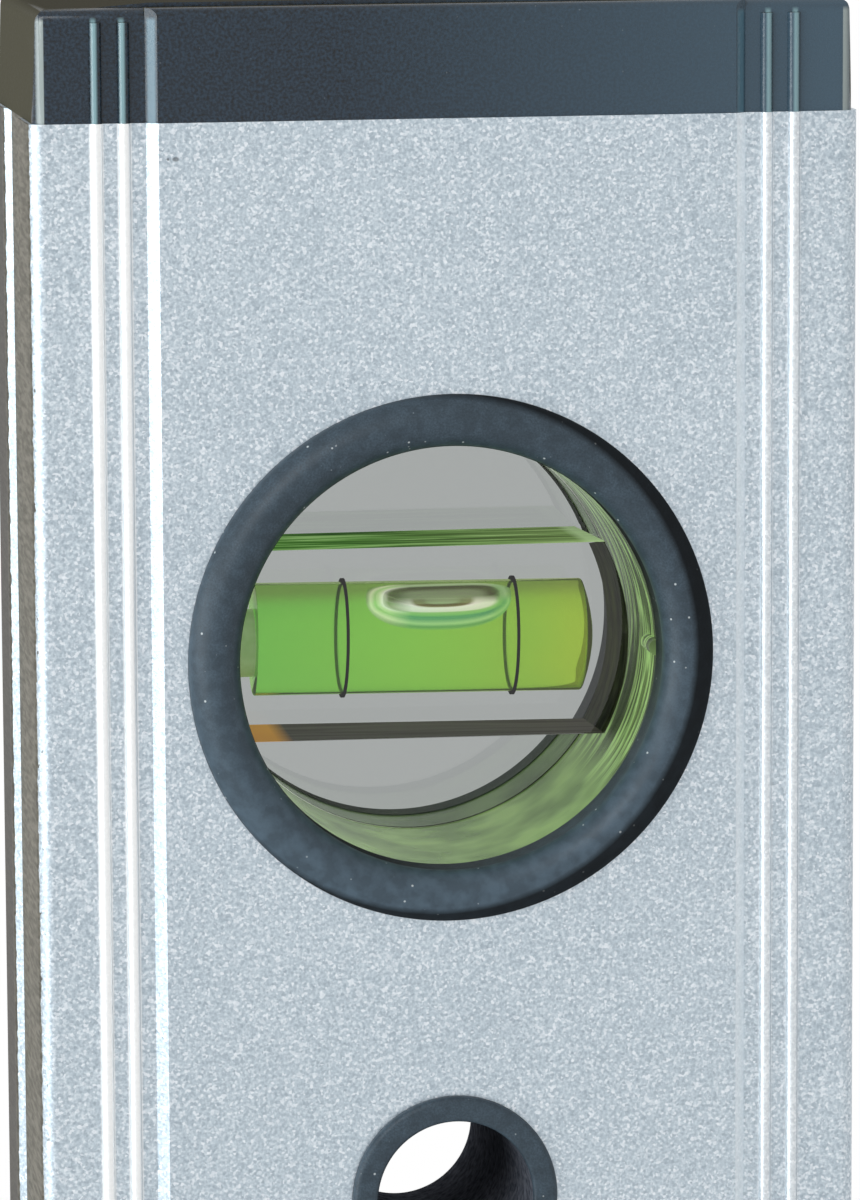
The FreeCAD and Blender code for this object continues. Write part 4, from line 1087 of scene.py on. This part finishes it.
def display_figures():
    """The reading 90.0 with a degree sign, a battery sign and a small upright bar."""
    bm = bmesh.new()
    wide, tall, stroke = 5.6 * MM, 5.4 * MM, 1.7 * MM
    left = -19.5 * MM
    for mark in "90.0":
        if mark == ".":
            dot = bmesh.ops.create_circle(bm, cap_ends=True, segments=24, radius=0.85 * MM)
            bmesh.ops.translate(bm, verts=dot["verts"], vec=(left - 1.0 * MM, -tall, 0))
            left += 1.6 * MM
            continue
        for name in LIT[mark]:
            (u0, v0), (u1, v1) = SEGMENTS[name]
            bar_sign(
                bm, (left + u0 * wide, (v0 - 1) * tall), (left + u1 * wide, (v1 - 1) * tall), stroke
            )
        left += wide + 3.6 * MM
    ring_sign(bm, (left + 0.4 * MM, 4.4 * MM), 1.2 * MM, 0.55 * MM)
    cell_left, cell_low, cell_long, cell_tall = 15.6 * MM, -6.2 * MM, 5.2 * MM, 2.6 * MM
    corners = [
        (cell_left, cell_low), (cell_left + cell_long, cell_low),
        (cell_left + cell_long, cell_low + cell_tall), (cell_left, cell_low + cell_tall),
    ]
    for i in range(4):
        bar_sign(bm, corners[i], corners[(i + 1) % 4], 0.3 * MM)
    for i in range(3):
        u = cell_left + (1.1 + 1.5 * i) * MM
        bar_sign(bm, (u, cell_low + 0.5 * MM), (u, cell_low + cell_tall - 0.5 * MM), 0.9 * MM)
    bar_sign(bm, (15.6 * MM, 5.6 * MM), (21.0 * MM, 5.6 * MM), 0.45 * MM)
    bar_sign(bm, (18.3 * MM, 3.2 * MM), (18.3 * MM, 5.4 * MM), 0.45 * MM)
    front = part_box("display_panel")[0].y
    spot = middle("display_panel")
    return raise_sign(bm, Vector((spot.x, front - 0.005 * MM, spot.z)), 0.04 * MM)


keep("display_figures", display_figures(), lcd_dark)

# %% [markdown]
# The keys carry plain signs, drawn with the same bars and rings: an open ring with a bar, two bars,
# a zero, and a slash between a small ring and two dashes. They ride with their keys.

# %% Signs on the keys


def key_sign(key):
    """The pale printed sign of one key."""
    bm = bmesh.new()
    if key == "power_key":
        ring_sign(bm, (0, -0.2 * MM), 2.0 * MM, 0.5 * MM, 24, math.radians(125), math.radians(290))
        bar_sign(bm, (0, 0.3 * MM), (0, 2.7 * MM), 0.5 * MM)
    elif key == "hold_key":
        for u in (-0.9, 0.9):
            bar_sign(bm, (u * MM, -1.9 * MM), (u * MM, 1.9 * MM), 0.8 * MM)
    elif key == "zero_key":
        ring_sign(bm, (0, 0), 1.7 * MM, 0.5 * MM)
        bmesh.ops.scale(bm, verts=bm.verts, vec=(0.72, 1.25, 1))
    else:
        ring_sign(bm, (-2.0 * MM, 1.3 * MM), 0.7 * MM, 0.4 * MM)
        bar_sign(bm, (-0.9 * MM, -2.1 * MM), (0.9 * MM, 2.1 * MM), 0.45 * MM)
        for u, v in ((0.6, -1.2), (2.6, -1.2)):
            bar_sign(bm, (u * MM, v * MM), ((u + 1.4) * MM, v * MM), 0.45 * MM)
    low, _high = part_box(key)
    spot = middle(key)
    return raise_sign(bm, Vector((spot.x, low.y - 0.005 * MM, spot.z)), 0.03 * MM)


for key in ("power_key", "hold_key", "zero_key", "unit_key"):
    keep(key + "_sign", key_sign(key), print_white, body=key)

# %% [markdown]
# ## Battery bay
#
# The door at the rear opens on two small cells. Each has a printed sleeve that stops short of its
# steel ends, a rolled edge where the sleeve shrinks over the rim, and a nub at the plus end.

# %% Battery bay
sleeve_print = black_moulding(
    "sleeve_print", (0.03, 0.055, 0.09), (0.2, 0.25, 0.3), 0.22, 0.5 * MM, 0.004 * MM
)
sleeve_band = black_moulding(
    "sleeve_band", (0.42, 0.44, 0.45), (0.5, 0.5, 0.5), 0.25, 0.5 * MM, 0.004 * MM
)


def cell(node, up):
    """A can with a rolled edge, its plus nub and a pale band at that end."""
    low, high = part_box(node)
    radius = (high.x - low.x) / 2
    centre = Vector(((low.x + high.x) / 2, (low.y + high.y) / 2, low.z if up > 0 else high.z))
    length = high.z - low.z
    nub, shoulder = 1.9 * MM, length - 0.8 * MM
    band = length * 0.74
    can, base = radius - 0.5 * MM, 0.05 * MM
    steel_outline = [(0, base), (can, base), (can, shoulder), (nub, shoulder), (nub, length), (0, length)]
    bm = turn(steel_outline, {4: 0.3 * MM}, centre, Z * up, X, steps=64)
    keep(node + "_can", bm, nickel, stands_for=[node])
    for name, start, end, finish in (
        ("wrap", 0, band, sleeve_print), ("band", band, shoulder, sleeve_band),
    ):
        inner = radius - 0.75 * MM
        outline = [(inner, start), (radius, start), (radius, end), (inner, end)]
        rounds = {1: 0.35 * MM} if name == "wrap" else {2: 0.35 * MM}
        bm = turn(outline, rounds, centre, Z * up, X, steps=64)
        keep(f"{node}_{name}", bm, finish)


cell("battery_cell_left", 1)
cell("battery_cell_right", -1)
for node in ("battery_contacts", "battery_springs", "key_switches", "tilt_sensor"):
    nodes[node].data.materials[0] = nickel
keep("bay_door", copy_of("battery_door"), cap_black, body="battery_door",
     stands_for=["battery_door"])

# %% Board pieces
board_green = black_moulding(
    "board_green", (0.008, 0.07, 0.03), (0.3, 0.3, 0.12), 0.3, 0.8 * MM, 0.01 * MM
)
for node, finish in (
    ("circuit_board", board_green), ("processor_chip", cap_black), ("buzzer", cap_black),
    ("display_contact_strips", soft_black),
):
    nodes[node].data.materials[0] = finish

# %% [markdown]
# ## Floor, light and camera
#
# The level stands on a pale floor that runs into a white background. Close to the foot the floor is
# a plain surface that takes the shadow; farther out it turns into even white for the camera and for
# reflections and glass, while the light on the object stays soft and plain. One tall lamp stands
# to the left, where it draws white lines along the beads, and a weaker one hangs in front of the
# level, up on the left.

# %% Floor and world


def seen_directly(tree):
    """One for camera, mirror and glass rays."""
    path = add(tree, "ShaderNodeLightPath")
    total = plus(tree, path.outputs["Is Camera Ray"], path.outputs["Is Glossy Ray"])
    total = plus(tree, total, path.outputs["Is Transmission Ray"])
    return sums(tree, "MINIMUM", total, 1.0)


def pale_floor():
    made, tree, shader = new_finish("pale_floor", Roughness=0.7, Base_Color=(0.89, 0.895, 0.90, 1))
    away = add(tree, "ShaderNodeVectorMath", {0: place(tree)}, operation="LENGTH").outputs["Value"]
    far = span(tree, away, 0.12, 0.55)
    white = add(tree, "ShaderNodeEmission", {"Color": (1, 1, 1, 1), "Strength": 1.0})
    both = add(
        tree, "ShaderNodeMixShader",
        {0: times(tree, far, seen_directly(tree)), 1: shader.outputs[0], 2: white.outputs[0]},
    )
    tree.links.new(both.outputs[0], tree.nodes["Material Output"].inputs["Surface"])
    return made


bm = bmesh.new()
bmesh.ops.create_grid(bm, x_segments=1, y_segments=1, size=40)
floor_mesh = bpy.data.meshes.new("floor")
bm.to_mesh(floor_mesh)
bm.free()
floor = bpy.data.objects.new("floor", floor_mesh)
floor_mesh.materials.append(pale_floor())
bpy.context.collection.objects.link(floor)
floor.location.z = solid_low.z

world = bpy.data.worlds.new("studio")
bpy.context.scene.world = world
world.use_nodes = True
tree = world.node_tree
strength = span(tree, seen_directly(tree), 0, 1, 0.36, 1.0)
tree.nodes["Background"].inputs["Color"].default_value = (1, 1, 1, 1)
tree.links.new(strength, tree.nodes["Background"].inputs["Strength"])

# %% Lamps


def soft_lamp(name, place_at, look_at, size, power, colour=(1, 1, 1)):
    lamp = bpy.data.lights.new(name, "AREA")
    lamp.color = colour
    lamp.shape = "RECTANGLE"
    lamp.size, lamp.size_y = size
    lamp.energy = power
    made = bpy.data.objects.new(name, lamp)
    bpy.context.collection.objects.link(made)
    made.location = place_at
    made.visible_transmission = False
    made.rotation_euler = (Vector(look_at) - Vector(place_at)).to_track_quat("-Z", "Z").to_euler()


target = (0, 0, 0.33)
soft_lamp("left_bank", (-1.0, -0.36, 0.36), target, (0.25, 1.2), 6, (0.90, 0.97, 1.0))
soft_lamp("upper_left_key", (-0.6, -1.0, 1.0), target, (0.5, 0.5), 4.4)

# %% [markdown]
# The camera looks from the upper left, with a long lens. Its focal length is worked out in pixels of
# the photograph's frame, because the lens follows from that and the height of the frame.

# %% Camera
view = bpy.context.scene.view_settings
view.view_transform = "Standard"
frame_high = 1200
focal_pixels = 6629.3
camera_data = bpy.data.cameras.new("camera")
camera_data.lens = focal_pixels / frame_high * camera_data.sensor_width
camera = bpy.data.objects.new("camera", camera_data)
bpy.context.collection.objects.link(camera)
camera.location = (-81.2 * MM, -476.1 * MM, 427.0 * MM)
yaw, pitch, roll = 0.1708, -0.1476, 0.0051
camera.rotation_euler = (math.pi / 2 + pitch, roll, -yaw)
bpy.context.scene.camera = camera
print("lens", round(camera_data.lens, 1))
